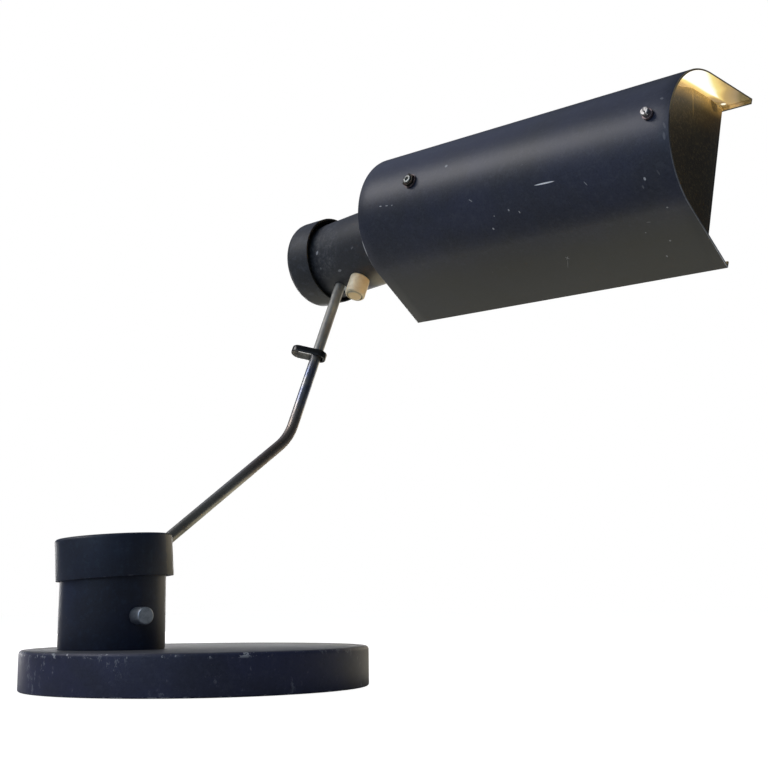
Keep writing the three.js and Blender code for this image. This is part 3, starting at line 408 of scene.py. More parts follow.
def shade_outside():
    """The dark paint on the shade, with its scratches and its worn ends, and painted light: warm light from
    below on its lower sides and the glow inside it on its front edge.
    """
    def worn(finish, here):
        s, m, n = finish.split(here)
        flat = side_reach(m, n)
        out = flat + (finish.radius(m, n) - flat) * finish.step(-m, 12.8, 12.9)
        skin = finish.step(out, SHADE_R - 0.75, SHADE_R - 0.45)
        broken = finish.step(finish.noise(here, 0.12, 4.0, 0.75), 0.4, 0.6)
        near = finish.step(-n, 12.0, 42.0) * 0.6 + finish.step(m, 0.0, 33.0) * finish.step(-n, 0.0, 5.0) * 1.1
        front = finish.step(s, SHADE_LENGTH - 0.5, SHADE_LENGTH - 0.35) * skin * near * (broken * 0.4 + 0.6)
        back = (1.0 - finish.step(s, 0.15, 0.5)) * skin * broken * 0.3
        flat_place = unrolled(finish, s, m, n)
        return strongest([front, back] + strokes(finish, flat_place, SHADE_MARKS, gain=1.4))

    def tint(finish, here, color):
        s, m, n = finish.split(here)
        # Painted light: the lower sides greyer and less blue, as under warm light from below.
        color = finish.mix(finish.step(m, -20.0, 6.0) * 0.75, color, (0.030, 0.032, 0.029))
        # Painted light: the front edge golden on the far side, where the glow inside reaches it.
        rim = finish.step(s, SHADE_LENGTH - 0.3, SHADE_LENGTH - 0.1)
        brown = finish.mix(finish.step(n, -8.0, 3.0), (0.05, 0.045, 0.04), (0.46, 0.34, 0.17))
        return finish.mix(rim, color, brown)

    return dark_paint(
        "shade_outside", SHADE, (0.022, 0.026, 0.042), (0.026, 0.032, 0.064),
        chips=0.36, rough=0.34, marks=0.32, scuffs=0.25, worn=worn, tint=tint)


def tube_place(finish, here):
    """The head tube's skin laid flat: along it, and round it from its near side."""
    x, y, z = finish.split(here)
    return finish.pair(x, finish.bearing(z, -y) * TUBE_R)


def tube_chips(finish, here):
    """Chips on the tube's near side."""
    return strongest(strokes(finish, tube_place(finish, here), [
        (-5.5, -12.7, 3.6, 2.2, 60, 0.8), (28.5, -18.0, 3.2, 1.2, 30, 0.25), (10.2, -29.8, 4.0, 2.2, 5, 0.45),
        (-5.5, -24.0, 2.4, 1.6, 70, 0.25)]))


def tube_tint(finish, here, color):
    """Dust rubbed grey beside the cap, painted lighter also to lift the cap's shade there, and painted warm
    light from the bulb under the tube next to the shade.
    """
    flat_place = tube_place(finish, here)
    blotches = finish.noise(here, 0.35, 5.0, 0.85)
    dust_and_painted_light = stroke(finish, flat_place, (-4.0, -8.0), 46.0, 62.0) * finish.step(blotches, 0.42, 0.7)
    color = finish.mix(dust_and_painted_light * 0.55, color, (0.17, 0.175, 0.18))
    # Painted warm light from the bulb, on the tube's underside next to the shade.
    under = stroke(finish, flat_place, (40.0, -58.0), 44.0, 44.0)
    return finish.mix(under * (blotches * 0.8 + 0.3), color, (0.26, 0.23, 0.16))


def warm_side_light(amount, start, blend, radius):
    """Painted warm light: olive and paler on the side of the wall that the warm light falls on, from an angle
    on.
    """
    def tint(finish, here, color):
        x, y, _ = finish.split(here)
        angle = finish.bearing(y, x) * DEGREES
        ragged = finish.noise(here, 0.35, 4.0, 0.7) * 8.0
        side = finish.step(angle + ragged, start, start + blend)
        side = side * (1.0 - finish.step(angle - ragged, 0.0, 45.0))
        wall = finish.step(finish.radius(x, y), radius - 1.8, radius - 0.3)
        return finish.mix(side * wall * amount, color, (0.088, 0.078, 0.048))
    return tint


def painted_rim_shade(z_level):
    """Painted shade: near-black below a level, for the rim of a cap."""
    def tint(finish, here, color):
        z = finish.split(here)[2]
        return finish.mix(finish.step(z, z_level + 0.1, z_level + 0.4), (0.002, 0.002, 0.002), color)
    return tint


def shade_inside():
    """Cream enamel with the bulb's light painted on as a glow: a white band in the gap round the baffle, gold
    along the sides.
    """
    finish = Finish("shade_inside")
    here = finish.where(SHADE)
    s, m, n = finish.split(here)
    dirt = finish.noise(here, 0.08, 5.0, 0.7)
    color = finish.mix(finish.step(dirt, 0.4, 0.75) * 0.6, (0.56, 0.44, 0.22), (0.40, 0.29, 0.14))
    # How strongly the painted glow shines: 1 in the gap, less beyond it, behind the plate and up the sides.
    angle = abs(finish.bearing(n, -m)) * DEGREES
    plate = BAFFLE_S + 3.5
    beyond = (s - BAFFLE_S - 12.7 + (angle - 75.0) * 0.31).top(0.0)
    level = 1.0 - beyond * 0.05 - (angle - 100.0).top(0.0) * finish.step(beyond, 0.5, 4.0) * 0.022
    level = level - (plate - s).top(0.0) * 0.09
    level = level - (angle - 103.0).top(0.0) * 0.06 * (1.0 - finish.step(s, plate - 2.0, plate + 0.5))
    # The painted glow varies with the dirt, and is painted brighter on the lips.
    level = level + (dirt - 0.5) * 0.14 + finish.step(m, 31.5, 31.9) * 0.22
    warmth = finish.node("ShaderNodeValToRGB", {"stops": [
        (0.0, (0.02, 0.014, 0.0)), (0.15, (0.20, 0.14, 0.08)), (0.32, (0.28, 0.185, 0.084)),
        (0.52, (0.38, 0.255, 0.09)), (0.68, (0.74, 0.52, 0.17)), (0.83, (0.85, 0.72, 0.26)),
        (0.93, (1.0, 1.0, 0.78)), (1.0, (1.1, 1.1, 1.1))]}, level)
    ahead = finish.step(s, BAFFLE_S - 14, BAFFLE_S - 10)
    # Painted shade: the glow is darker along the fold between each side and its lip.
    fold_shade = finish.step(m, 30.3, 31.0) * (1.0 - finish.step(m, 31.4, 31.7))
    glow = finish.mix(ahead * (1.0 - fold_shade * 0.7), (0.0, 0.0, 0.0), warmth)
    # A painted bright spot where light leaks past the plate's far upper corner.
    corner = (BAFFLE_S + 1.2, 27.5, 54.8)
    leak = finish.node("ShaderNodeVectorMath", {"operation": "DISTANCE"}, here, corner, output=1)
    glow = finish.mix(1.0 - finish.step(leak, 0.9, 2.0), glow, (1.0, 1.0, 0.85))
    return finish.feed(
        Base_Color=color, Roughness=0.5 + dirt * 0.15, Emission_Color=glow, Emission_Strength=0.95,
        Normal=finish.bump(finish.noise(here, 0.5, 3.0), 0.2, 0.0002),
    ).material


def rod_steel():
    """Polished steel gone dull: brown in the bend, with dark tarnish in long streaks."""
    finish = Finish("rod_steel")
    here = finish.where(ARM)
    x = finish.split(here)[0]
    along = finish.split(finish.where(UPPER))[2]
    streak = finish.noise(here, 0.22, 5.0, 0.75, stretch=(0.22, 1.0, 0.22))
    speckle = finish.noise(here, 0.9, 4.0, 0.8)
    tarnish = finish.noise(here, 0.06, 4.0, 0.6)
    bend = 1.0 - finish.step(abs(x - LOWER_ROD + 14.0), 14.0, 52.0)
    low = 1.0 - finish.step(x, 60.0, 150.0)
    high = finish.step(along, 64.0, 74.0)
    # Painted reflection: blue streaks on the rod between the bend and the clip.
    blue_reflection = finish.step(along, 10.0, 30.0) * (1.0 - finish.step(along, 50.0, 64.0))
    color = finish.mix(low, (0.40, 0.39, 0.37), (0.28, 0.27, 0.235))
    color = finish.mix(high, color, (0.40, 0.40, 0.375))
    brown = (bend * 0.6 + finish.step(tarnish, 0.5, 0.75) * 0.3).least(1.0)
    color = finish.mix(brown, color, (0.20, 0.135, 0.10))
    color = finish.mix(blue_reflection * finish.step(tarnish, 0.35, 0.6), color, (0.20, 0.23, 0.33))
    color = finish.mix(finish.step(streak, 0.5, 0.7) * 0.5, color, (0.09, 0.09, 0.085))
    color = finish.mix(finish.step(speckle, 0.55, 0.7) * 0.3, color, (0.07, 0.07, 0.065))
    rough = 0.36 + high * 0.16 + finish.step(streak, 0.5, 0.75) * 0.15 - blue_reflection * 0.04
    return finish.feed(
        Base_Color=color, Roughness=rough, Metallic=1.0 - high * 0.25,
        Normal=finish.bump(finish.noise(here, 1.2, 3.0, stretch=(0.2, 1.0, 1.0)), 0.1, 0.0001),
    ).material


def bare_metal(name, color, dull, rough, matrix, spots=0.5):
    """Turned or plated metal with fine lay, dull patches and dark pits."""
    finish = Finish(name)
    here = finish.where(matrix)
    patch = finish.noise(here, 0.25, 5.0, 0.7)
    lay = finish.noise(here, 2.4, 3.0, 0.6, stretch=(0.2, 0.2, 3.0))
    pits = finish.step(finish.noise(here, 1.7, 3.0, 0.8), 0.68, 0.76)
    tone = finish.mix(finish.step(patch, 0.35, 0.75), color, dull)
    tone = finish.mix(pits * spots, tone, (0.05, 0.045, 0.04))
    return finish.feed(
        Base_Color=tone, Metallic=1.0 - pits * 0.4, Roughness=rough + patch * 0.2 + lay * 0.1,
        Normal=finish.bump(lay, 0.15, 0.00008),
    ).material


def moulded(name, color, dirt, rough, matrix=WORLD, grime=0.5, seam=None, face=None,
            face_tone=(0.90, 0.66, 0.34)):
    """Aged plastic, nylon or bakelite: mottled, with dirt in its pores."""
    finish = Finish(name)
    here = finish.where(matrix)
    mottle = finish.noise(here, 0.18, 5.0, 0.65)
    pores = finish.noise(here, 1.6, 4.0, 0.75)
    tone = finish.mix(finish.step(mottle, 0.35, 0.75) * grime, color, dirt)
    tone = finish.mix(finish.step(pores, 0.6, 0.75) * grime * 0.6, tone, dirt)
    if face is not None:
        tone = finish.mix(face(finish, here), tone, face_tone)
    if seam is not None:
        tone = finish.mix(seam(finish, here), tone, tuple(c * 0.3 for c in dirt))
    return finish.feed(
        Base_Color=tone, Roughness=rough + pores * 0.18, Normal=finish.bump(pores, 0.15, 0.0001),
    ).material


def felt_finish():
    """Dark green-grey felt, with light fibres."""
    finish = Finish("felt")
    here = finish.where()
    fibre = finish.noise(here, 2.2, 6.0, 0.85)
    tone = finish.mix(fibre, (0.018, 0.022, 0.018), (0.07, 0.08, 0.065))
    return finish.feed(
        Base_Color=tone, Roughness=0.9 + fibre * 0.1, Normal=finish.bump(fibre, 0.8, 0.0004),
    ).material


def bulb_finish():
    """Frosted glass, lit towards its front."""
    finish = Finish("bulb_glass")
    here = finish.where(HEAD)
    x = finish.split(here)[0]
    frost = finish.noise(here, 0.6, 3.0)
    lit = finish.step(x, 78.0, 104.0)
    glow = finish.mix(lit, (0.30, 0.16, 0.05), (1.0, 0.80, 0.52))
    return finish.feed(
        Base_Color=finish.mix(frost * 0.3, (0.92, 0.88, 0.80), (0.82, 0.76, 0.66)),
        Roughness=0.25 + frost * 0.2, Emission_Color=glow, Emission_Strength=BULB_GLOW,
    ).material


def baffle_finish():
    """Brown paint on the plate, with a painted golden glow where the light grazes its edges and a painted
    light streak, and darker at its far upper corner.
    """
    finish = Finish("baffle_sheet")
    here = finish.where(SHADE)
    _, m, n = finish.split(here)
    mottle = finish.noise(here, 0.09, 5.0, 0.7)
    speckle = finish.noise(here, 0.6, 4.0, 0.85)
    tone = finish.mix(finish.step(mottle, 0.3, 0.7), (0.020, 0.014, 0.007), (0.034, 0.026, 0.012))
    tone = finish.mix(finish.step(speckle, 0.50, 0.60) * 0.8, tone, (0.115, 0.085, 0.040))
    hem = finish.step(m + n * 0.027, 28.9, 29.3)
    hem_line = (1.0 - finish.step(abs(m + n * 0.027 - 28.7), 0.15, 0.5)) * 0.5
    tone = finish.mix(hem * 0.6, tone, (0.020, 0.014, 0.013))
    tone = finish.mix(hem_line, tone, (0.09, 0.07, 0.04))
    # Painted light: the edges glow gold where the bulb's light grazes them.
    flat = side_reach(m, n)
    edge = flat.top(finish.radius(m, n) * (m < -8.0))
    reach = ((edge - 33.0) / 12.0).top(0.0).least(1.0)
    graze = reach ** 1.8 + finish.step(edge, 18.0, 40.0) * 0.04
    flat_place = finish.pair(m, n)
    # A painted light streak down the plate, and a darker patch at its far upper corner.
    light_streak = stroke(finish, flat_place, (-2.2, 40.0), 30.0, 1.6, 104) * 0.2
    dark_corner = stroke(finish, flat_place, (20.5, 49.5), 11.0, 9.0, -30) * finish.step(speckle, 0.2, 0.5) * 0.75
    glow = finish.mix((graze + light_streak).least(1.0) * (1.0 - dark_corner), (0.0, 0.0, 0.0), (0.74, 0.43, 0.11))
    glow = finish.mix(finish.step(speckle, 0.38, 0.62) * 0.6, glow, (0.0, 0.0, 0.0))
    tone = finish.mix(dark_corner, tone, (0.010, 0.012, 0.005))
    return finish.feed(
        Base_Color=tone, Roughness=0.5 + speckle * 0.2, Emission_Color=glow, Emission_Strength=0.9,
        Normal=finish.bump(speckle, 0.3, 0.0002),
    ).material


def button_seam(finish, here):
    """Dirt in the groove between the collar and the plunger, and where the collar meets the tube."""
    x, y, z = finish.split(here)
    gap = finish.step(z, COLLAR_TOP - 1.2, COLLAR_TOP - 0.6)
    gap = gap * (1.0 - finish.step(z, COLLAR_TOP + 0.1, COLLAR_TOP + 0.6))
    groove = (1.0 - finish.step(abs(finish.radius(x, y) - BUTTON_R - 0.1), 0.25, 0.8)) * gap
    groove = groove * (finish.step(finish.noise(here, 0.12, 2.0), 0.42, 0.58) * 0.6 + 0.3)
    foot = (1.0 - finish.step(z, TUBE_R - 1.0, TUBE_R + 1.0)) * 0.5
    return groove.top(foot)


def clip_inside(finish, here):
    """The paler inside of the clip's loop, towards its far end."""
    x, y, _ = finish.split(here)
    beyond = finish.step(x + CLIP_SHIFT, CLIP_SPAN, CLIP_SPAN + 0.1)
    out = abs(y) + (finish.radius(x + CLIP_SHIFT - CLIP_SPAN, y) - abs(y)) * beyond
    inside = 1.0 - finish.step(out, ROD_R + 0.35, ROD_R + 0.5)
    return inside * finish.step(x, 2.0, 9.0) * (finish.noise(here, 0.5, 3.0) * 0.5 + 0.6)


def yellowing_and_lit_side(finish, here):
    """Yellowing on the plunger's end, where fingers press it, and painted warm light from the bulb on the
    side towards the shade.
    """
    x, y, z = finish.split(here)
    end = 1.0 - finish.step(finish.radius(x, y), BUTTON_R - 0.9, BUTTON_R - 0.2)
    end = end * finish.step(z, COLLAR_TOP, COLLAR_TOP + 0.5)
    return end.top(finish.step(x, 0.5, COLLAR_R) * 0.6)


# Wear on the disc's edges and side; the top edge's brighter left part is a painted highlight.
DISC_WEAR_AND_HIGHLIGHT = together(
    wear_with_left_highlight(rim_wear(DISC_R, DISC_H - 1.0, 2.6, 0.9, 0.55)),
    rim_wear(DISC_R - 0.6, DISC_LIFT, 1.8, 0.7, 0.53), disc_marks)
BASE_PAINT = dark_paint(
    "base_paint", WORLD, (0.021, 0.024, 0.050), (0.029, 0.033, 0.086),
    chips=0.40, rough=0.40, marks=0.42, scuffs=0.3,
    worn=DISC_WEAR_AND_HIGHLIGHT, tint=disc_painted_light, haze=(0.060, 0.066, 0.105))
POST_PAINT = dark_paint(
    "post_paint", POST, (0.010, 0.014, 0.030), (0.014, 0.023, 0.060),
    chips=0.34, rough=0.38, marks=0.34, scuffs=0.5,
    tint=warm_side_light(0.45, -48.0, 12.0, POST_R), haze=(0.022, 0.040, 0.080))
CAP_PAINT = dark_paint(
    "cap_paint", CAP_FRAME, (0.009, 0.014, 0.030), (0.014, 0.024, 0.056),
    chips=0.36, rough=0.40, marks=0.40, scuffs=0.6, worn=rim_wear(CAP_R, CAP_RIM_Z - CAP_PIVOT_Z, 0.9, 0.15),
    tint=warm_side_light(1.0, -61.0, 5.0, CAP_R), haze=(0.024, 0.042, 0.070))
TUBE_PAINT = dark_paint(
    "tube_paint", HEAD, (0.024, 0.026, 0.032), (0.028, 0.031, 0.040),
    chips=0.40, rough=0.44, marks=0.34, scuffs=0.3, worn=tube_chips, tint=tube_tint)
HEAD_CAP_PAINT = dark_paint(
    "head_cap_paint", HEAD_BACK, (0.026, 0.028, 0.032), (0.030, 0.033, 0.042),
    chips=0.36, rough=0.46, marks=0.34, scuffs=0.5, tint=painted_rim_shade(HEAD_CAP_RIM))
SHADE_OUTSIDE = shade_outside()
SHADE_INSIDE = shade_inside()
ROD_STEEL = rod_steel()
ALUMINIUM = bare_metal("aluminium", (0.56, 0.60, 0.65), (0.36, 0.39, 0.43), 0.32, KNOB)
STEEL = bare_metal("plated_steel", (0.50, 0.49, 0.48), (0.30, 0.28, 0.27), 0.3, RIDGE)
WORN_STEEL = bare_metal("worn_steel", (0.42, 0.43, 0.41), (0.16, 0.16, 0.15), 0.4, RIDGE, 0.8)
BLACK_STEEL = bare_metal("black_steel", (0.022, 0.030, 0.026), (0.07, 0.042, 0.035), 0.4, RIDGE)
DARK_STEEL = bare_metal("dark_steel", (0.23, 0.185, 0.19), (0.27, 0.20, 0.19), 0.4, RIDGE)
BRASS = bare_metal("brass", (0.62, 0.46, 0.20), (0.36, 0.25, 0.11), 0.3, HEAD)
IVORY = moulded(
    "ivory", (0.95, 0.86, 0.64), (0.56, 0.38, 0.15), 0.34, SWITCH, 0.7, seam=button_seam, face=yellowing_and_lit_side)
BAKELITE = moulded("bakelite", (0.030, 0.020, 0.014), (0.010, 0.008, 0.006), 0.3, HEAD)
NYLON = moulded("nylon", (0.72, 0.71, 0.66), (0.50, 0.46, 0.38), 0.5)
CLIP_BLACK = moulded(
    "clip_black", (0.006, 0.006, 0.007), (0.020, 0.022, 0.018), 0.12, CLIP_FRAME,
    face=clip_inside, face_tone=(0.42, 0.40, 0.34))
FELT = felt_finish()
BULB = bulb_finish()
BAFFLE = baffle_finish()


# ---- modelling helpers ----
SAME_PLACE = 1e-4  # points closer than this, in millimetres, are one


def merged(bm):
    """Joins the points that coincide, and turns the faces outwards."""
    bmesh.ops.remove_doubles(bm, verts=bm.verts, dist=SAME_PLACE)
    bmesh.ops.recalc_face_normals(bm, faces=bm.faces)


def finished(name, bm, matrix, materials, body=None, nodes=(), sharp=40.0, closed=True):
    """Puts a mesh drawn in a frame, in millimetres, in its place, and lets it stand for CAD nodes.

    A sheet, which isn't closed, keeps the way that its faces point."""
    bmesh.ops.remove_doubles(bm, verts=bm.verts, dist=SAME_PLACE)
    if closed:
        bmesh.ops.recalc_face_normals(bm, faces=bm.faces)
    bmesh.ops.transform(bm, matrix=Matrix.Scale(MM, 4) @ matrix, verts=bm.verts)
    mesh = bpy.data.meshes.new(name)
    bm.to_mesh(mesh)
    bm.free()
    mesh.shade_smooth()
    mesh.set_sharp_from_angle(angle=math.radians(sharp))
    for material in materials:
        mesh.materials.append(material)
    piece = into_scene(name, mesh)
    if body:
        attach(piece, body)
        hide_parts(*nodes)
    return piece


def points(made):
    """The points among what an operator made."""
    return [g for g in made if isinstance(g, bmesh.types.BMVert)]


def wire(bm, places):
    """A chain of edges through some places; gives its points."""
    chain = [bm.verts.new(spot) for spot in places]
    for a, b in zip(chain, chain[1:]):
        bm.edges.new((a, b))
    return chain


def drawn(bm, edges, vec):
    """Draws a wire out into a sheet, and gives the sheet's far edges."""
    made = bmesh.ops.extrude_edge_only(bm, edges=edges)["geom"]
    bmesh.ops.translate(bm, verts=points(made), vec=vec)
    return [g for g in made if isinstance(g, bmesh.types.BMEdge) and len(g.link_faces) == 1]


def turned(bm, steps):
    """Spins a wire right round Z."""
    bmesh.ops.spin(
        bm, geom=bm.verts[:] + bm.edges[:], axis=(0, 0, 1), cent=(0, 0, 0),
        angle=math.tau, steps=steps, use_merge=True)
    merged(bm)


def bevel(bm, edges, offset, segments=2):
    """Rounds edges of a mesh, where there are any."""
    if edges:
        bmesh.ops.bevel(
            bm, geom=edges, offset=offset, segments=segments, affect="EDGES", profile=0.5,
            material=-1, clamp_overlap=True)


def spun(profile, rounds=(), steps=96, edge=0.25):
    """Turned shape about Z from (radius, z) points; rounds are (radius, z, size) edges to round more."""
    bm = bmesh.new()
    wire(bm, [(r, 0.0, z) for r, z in profile])
    turned(bm, steps)

    def edges_at(r, z):
        return [e for e in bm.edges if all(
            abs(math.hypot(v.co.x, v.co.y) - r) < 1e-3 and abs(v.co.z - z) < 1e-3 for v in e.verts)]

    big = {(round(r, 3), round(z, 3)) for r, z, _ in rounds}
    small = []
    if edge:
        for r, z in set(profile):
            if r > 0.01 and (round(r, 3), round(z, 3)) not in big:
                small += [e for e in edges_at(r, z) if len(e.link_faces) == 2 and e.calc_face_angle(0) > 0.6]
    for r, z, size in rounds:
        bevel(bm, edges_at(r, z), size, 6)
    bevel(bm, [e for e in small if e.is_valid], edge)
    return bm


def ring_section(hole, radius, foot, top):
    """The profile of a ring or tube, for spun."""
    return [(hole, foot), (radius, foot), (radius, top), (hole, top), (hole, foot)]


def headed_section(shank, head, foot, seat, top):
    """The profile of a solid pin from its foot up, with a wider head from seat to top, for spun."""
    return [(0, foot), (shank, foot), (shank, seat), (head, seat), (head, top), (0, top)]


def bar(radius, z0, z1, sides=32, edge=0.2):
    """Solid round or hexagonal bar along Z."""
    bm = bmesh.new()
    bmesh.ops.create_circle(bm, cap_ends=True, segments=sides, radius=radius)
    raised = bmesh.ops.extrude_face_region(bm, geom=bm.faces[:], use_keep_orig=True)["geom"]
    bmesh.ops.translate(bm, verts=points(raised), vec=(0, 0, z1 - z0))
    bmesh.ops.translate(bm, verts=bm.verts, vec=(0, 0, z0))
    bmesh.ops.recalc_face_normals(bm, faces=bm.faces)
    bevel(bm, [e for e in bm.edges if e.calc_face_angle(0) > 0.7], edge)
    return bm


def driver_slot(half_length, half_width, floor):
    """The block that cuts a screwdriver slot down to a level."""
    half_height = 2.0
    bm = bmesh.new()
    bmesh.ops.create_cube(bm, size=2.0)
    bmesh.ops.scale(bm, vec=(half_length, half_width, half_height), verts=bm.verts)
    bmesh.ops.translate(bm, vec=(0, 0, floor + half_height), verts=bm.verts)
    return bm


def carve(piece, *tools):
    """Cuts tool meshes, each (bmesh, frame), out of a piece and drops the tools."""
    for bm, matrix in tools:
        tool = finished("tool", bm, matrix, [])
        cut = piece.modifiers.new("cut", "BOOLEAN")
        cut.operation, cut.solver, cut.object = "DIFFERENCE", "EXACT", tool
        bpy.context.view_layer.update()
        result = bpy.data.meshes.new_from_object(piece.evaluated_get(bpy.context.evaluated_depsgraph_get()))
        piece.modifiers.clear()
        old = piece.data
        result.name = old.name
        piece.data = result
        bpy.data.meshes.remove(old)
        spent = tool.data
        bpy.data.objects.remove(tool)
        bpy.data.meshes.remove(spent)
    piece.data.set_sharp_from_angle(angle=math.radians(30))


def thicken(piece, thickness, offset, even=False):
    """Gives a sheet its thickness; an offset of 1 builds along its normals, and -1 against them."""
    wall = piece.modifiers.new("wall", "SOLIDIFY")
    wall.thickness, wall.offset, wall.use_even_offset = thickness * MM, offset, even
    return wall


def soften(piece, width, segments=2, angle=40.0):
    """Rounds the edges of a finished piece that are sharper than an angle."""
    edge = piece.modifiers.new("edge", "BEVEL")
    edge.width, edge.segments, edge.limit_method = width * MM, segments, "ANGLE"
    edge.angle_limit = math.radians(angle)


# ---- base ----
def build_base():
    """The disc with its felt pad and the cup on it."""
    recess_r, recess_z = PAD_R + 0.3, PAD_H + 0.05
    disc = spun([
        (0, recess_z), (recess_r, recess_z), (recess_r, DISC_LIFT), (DISC_R, DISC_LIFT),
        (DISC_R, DISC_H), (0, DISC_H),
    ], [(DISC_R, DISC_H, 2.2), (DISC_R, DISC_LIFT, 1.1)], 160)
    finished("base", disc, WORLD, [BASE_PAINT], "base", ["base_disc"])
    pad = spun([(0, 0), (PAD_R, 0), (PAD_R, PAD_H), (0, PAD_H)], steps=120, edge=0.3)
    finished("pad", pad, WORLD, [FELT], "base", ["base_pad"])

    bore, foot = POST_R - POST_WALL, DISC_H + 0.05
    cup = spun([
        (0, foot), (POST_R, foot), (POST_R, POST_TOP), (bore, POST_TOP), (bore, POST_FLOOR_Z),
        (0, POST_FLOOR_Z),
    ], [(POST_R, POST_TOP, 0.7)])
    post = finished("post_cup", cup, POST, [POST_PAINT], "base", ["post"])
    knob_hole = bar(KNOB_THREAD_R + 0.3, 20, 35)
    carve(post, (knob_hole, KNOB))


def build_cap():
    """The cup's cap, with its hole for the rod and its countersunk screw, and the clamp knob below."""
    rim, top = CAP_RIM_Z - CAP_PIVOT_Z, CAP_TOP_Z - CAP_PIVOT_Z
    bore, ceiling = CAP_R - CAP_WALL, top - CAP_WALL
    cap = spun([
        (bore, rim), (CAP_R, rim), (CAP_R, top), (0, top), (0, ceiling), (bore, ceiling), (bore, rim),
    ], [(CAP_R, top, CAP_EDGE), (bore, ceiling, 0.6)], 112)
    cap = finished("post_cap", cap, CAP_FRAME, [CAP_PAINT], "arm", ["base_cap"])
    shank, head = 2.0, 4.0
    sink = spun([
        (0, top - 4), (shank + 0.3, top - 4), (shank + 0.3, top - 2), (head + 0.4, top + 0.1), (0, top + 0.1),
    ], steps=32, edge=0)
    rod_hole = bar(ROD_R + 1.2, 26, 60)
    carve(cap, (rod_hole, place(ARM, (0, 0, 0), ("Y", 90))), (sink, CAP_FRAME))
    screw = spun([
        (0, top - 10), (shank, top - 10), (shank, top - 2), (head, top), (0, top),
    ], steps=40, edge=0.1)
    screw = finished("cap_fixing", screw, CAP_FRAME, [STEEL], "arm", ["cap_screw"])
    carve(screw, (driver_slot(5, 0.5, top - 1), CAP_FRAME))

    shoulder, end = POST_R + 0.3, POST_R + KNOB_LENGTH
    section = headed_section(KNOB_THREAD_R, KNOB_R, KNOB_TIP, shoulder, end)
    knob = spun(section, [(KNOB_R, end, 0.8)], 64, 0.15)
    finished("knob_turned", knob, KNOB, [ALUMINIUM], "knob", ["clamp_knob"])


# ---- rod and its cord clip ----
def build_rod():
    """The rod: a ring drawn along the lower length, swept round the bend and drawn on."""
    bm = bmesh.new()
    bmesh.ops.create_circle(bm, cap_ends=False, segments=40, radius=ROD_R)
    bmesh.ops.rotate(bm, verts=bm.verts, matrix=Matrix.Rotation(math.pi / 2, 3, "Y"))
    bmesh.ops.translate(bm, verts=bm.verts, vec=(-ROD_TAIL, 0, 0))
    angle = math.radians(BEND)
    tangent = BEND_RADIUS * math.tan(angle / 2)
    ring = drawn(bm, bm.edges[:], (ROD_TAIL + LOWER_ROD - tangent, 0, 0))
    swept = bmesh.ops.spin(
        bm, geom=ring + list({v for e in ring for v in e.verts}), cent=(LOWER_ROD - tangent, 0, BEND_RADIUS),
        axis=(0, -1, 0), angle=angle, steps=18, use_duplicate=False)["geom_last"]
    ring = [g for g in swept if isinstance(g, bmesh.types.BMEdge)]
    last = UPPER_ROD + ROD_NOSE - tangent
    drawn(bm, ring, (last * math.cos(angle), 0, last * math.sin(angle)))
    bmesh.ops.holes_fill(bm, edges=[e for e in bm.edges if e.is_boundary])
    bevel(bm, [e for e in bm.edges if len(e.link_faces) == 2 and e.calc_face_angle(0) > 1.0], 0.5, 3)
    finished("rod", bm, ARM, [ROD_STEEL], "arm", ["bent_rod"])


def build_clip():
    """The cord clip: a loop round the rod and the place for the cord beside it."""
    bm = bmesh.new()
    radius = ROD_R + 0.3 + CLIP_WALL / 2
    for centre, start in ((0, radius), (CLIP_SPAN, -radius)):
        end = bm.verts.new((centre, start, 0))
        bmesh.ops.spin(bm, geom=[end], cent=(centre, 0, 0), axis=(0, 0, 1), angle=math.pi, steps=24)
    ends = [v for v in bm.verts if len(v.link_edges) == 1]
    for side in (1, -1):
        bm.edges.new([v for v in ends if v.co.y * side > 0])
    drawn(bm, bm.edges[:], (0, 0, CLIP_H))
    bmesh.ops.translate(bm, verts=bm.verts, vec=(-CLIP_SHIFT, 0, -CLIP_H / 2))
    clip = finished("cord_clip", bm, CLIP_FRAME, [CLIP_BLACK], "clip", ["cable_clip"], 60.0)
    thicken(clip, CLIP_WALL, 0.0, even=True)
    soften(clip, 0.35, 3)


# ---- head tube, its cap, switch ----
def build_tube():
    """The head tube, with the switch's hole and the slot that lets the rod turn a quarter round."""
    bore = TUBE_R - TUBE_WALL
    tube = spun(ring_section(bore, TUBE_R, TUBE_BACK, TUBE_FRONT), steps=128, edge=0.2)
    tube = finished("tube", tube, HEAD_FRONT, [TUBE_PAINT], "head", ["head_tube"])
    half_depth = 3.0
    slot = bmesh.new()
    bmesh.ops.create_grid(slot, x_segments=1, y_segments=1, size=1.0)
    bmesh.ops.scale(slot, vec=(SLOT_HALF, half_depth, 1.0), verts=slot.verts)
    bmesh.ops.rotate(slot, verts=slot.verts, matrix=Matrix.Rotation(math.pi / 2, 3, "X"))
    bmesh.ops.translate(slot, verts=slot.verts, vec=(0, 0, -TUBE_R))
    bmesh.ops.spin(
        slot, geom=slot.faces[:] + slot.edges[:] + slot.verts[:], cent=(0, 0, 0), axis=(1, 0, 0),
        angle=math.radians(SLOT_SWEEP), steps=28, use_duplicate=False)
    ends = [
        (bar(SLOT_HALF + 0.02, 21, 29, 36, 0), place(HEAD, (0, 0, 0), ("X", 180 + turn)))
        for turn in (0, SLOT_SWEEP)]
    button_hole = bar(BUTTON_R + 0.6, 20, 30, 48, 0)
    carve(tube, (button_hole, SWITCH), *ends, (slot, HEAD))


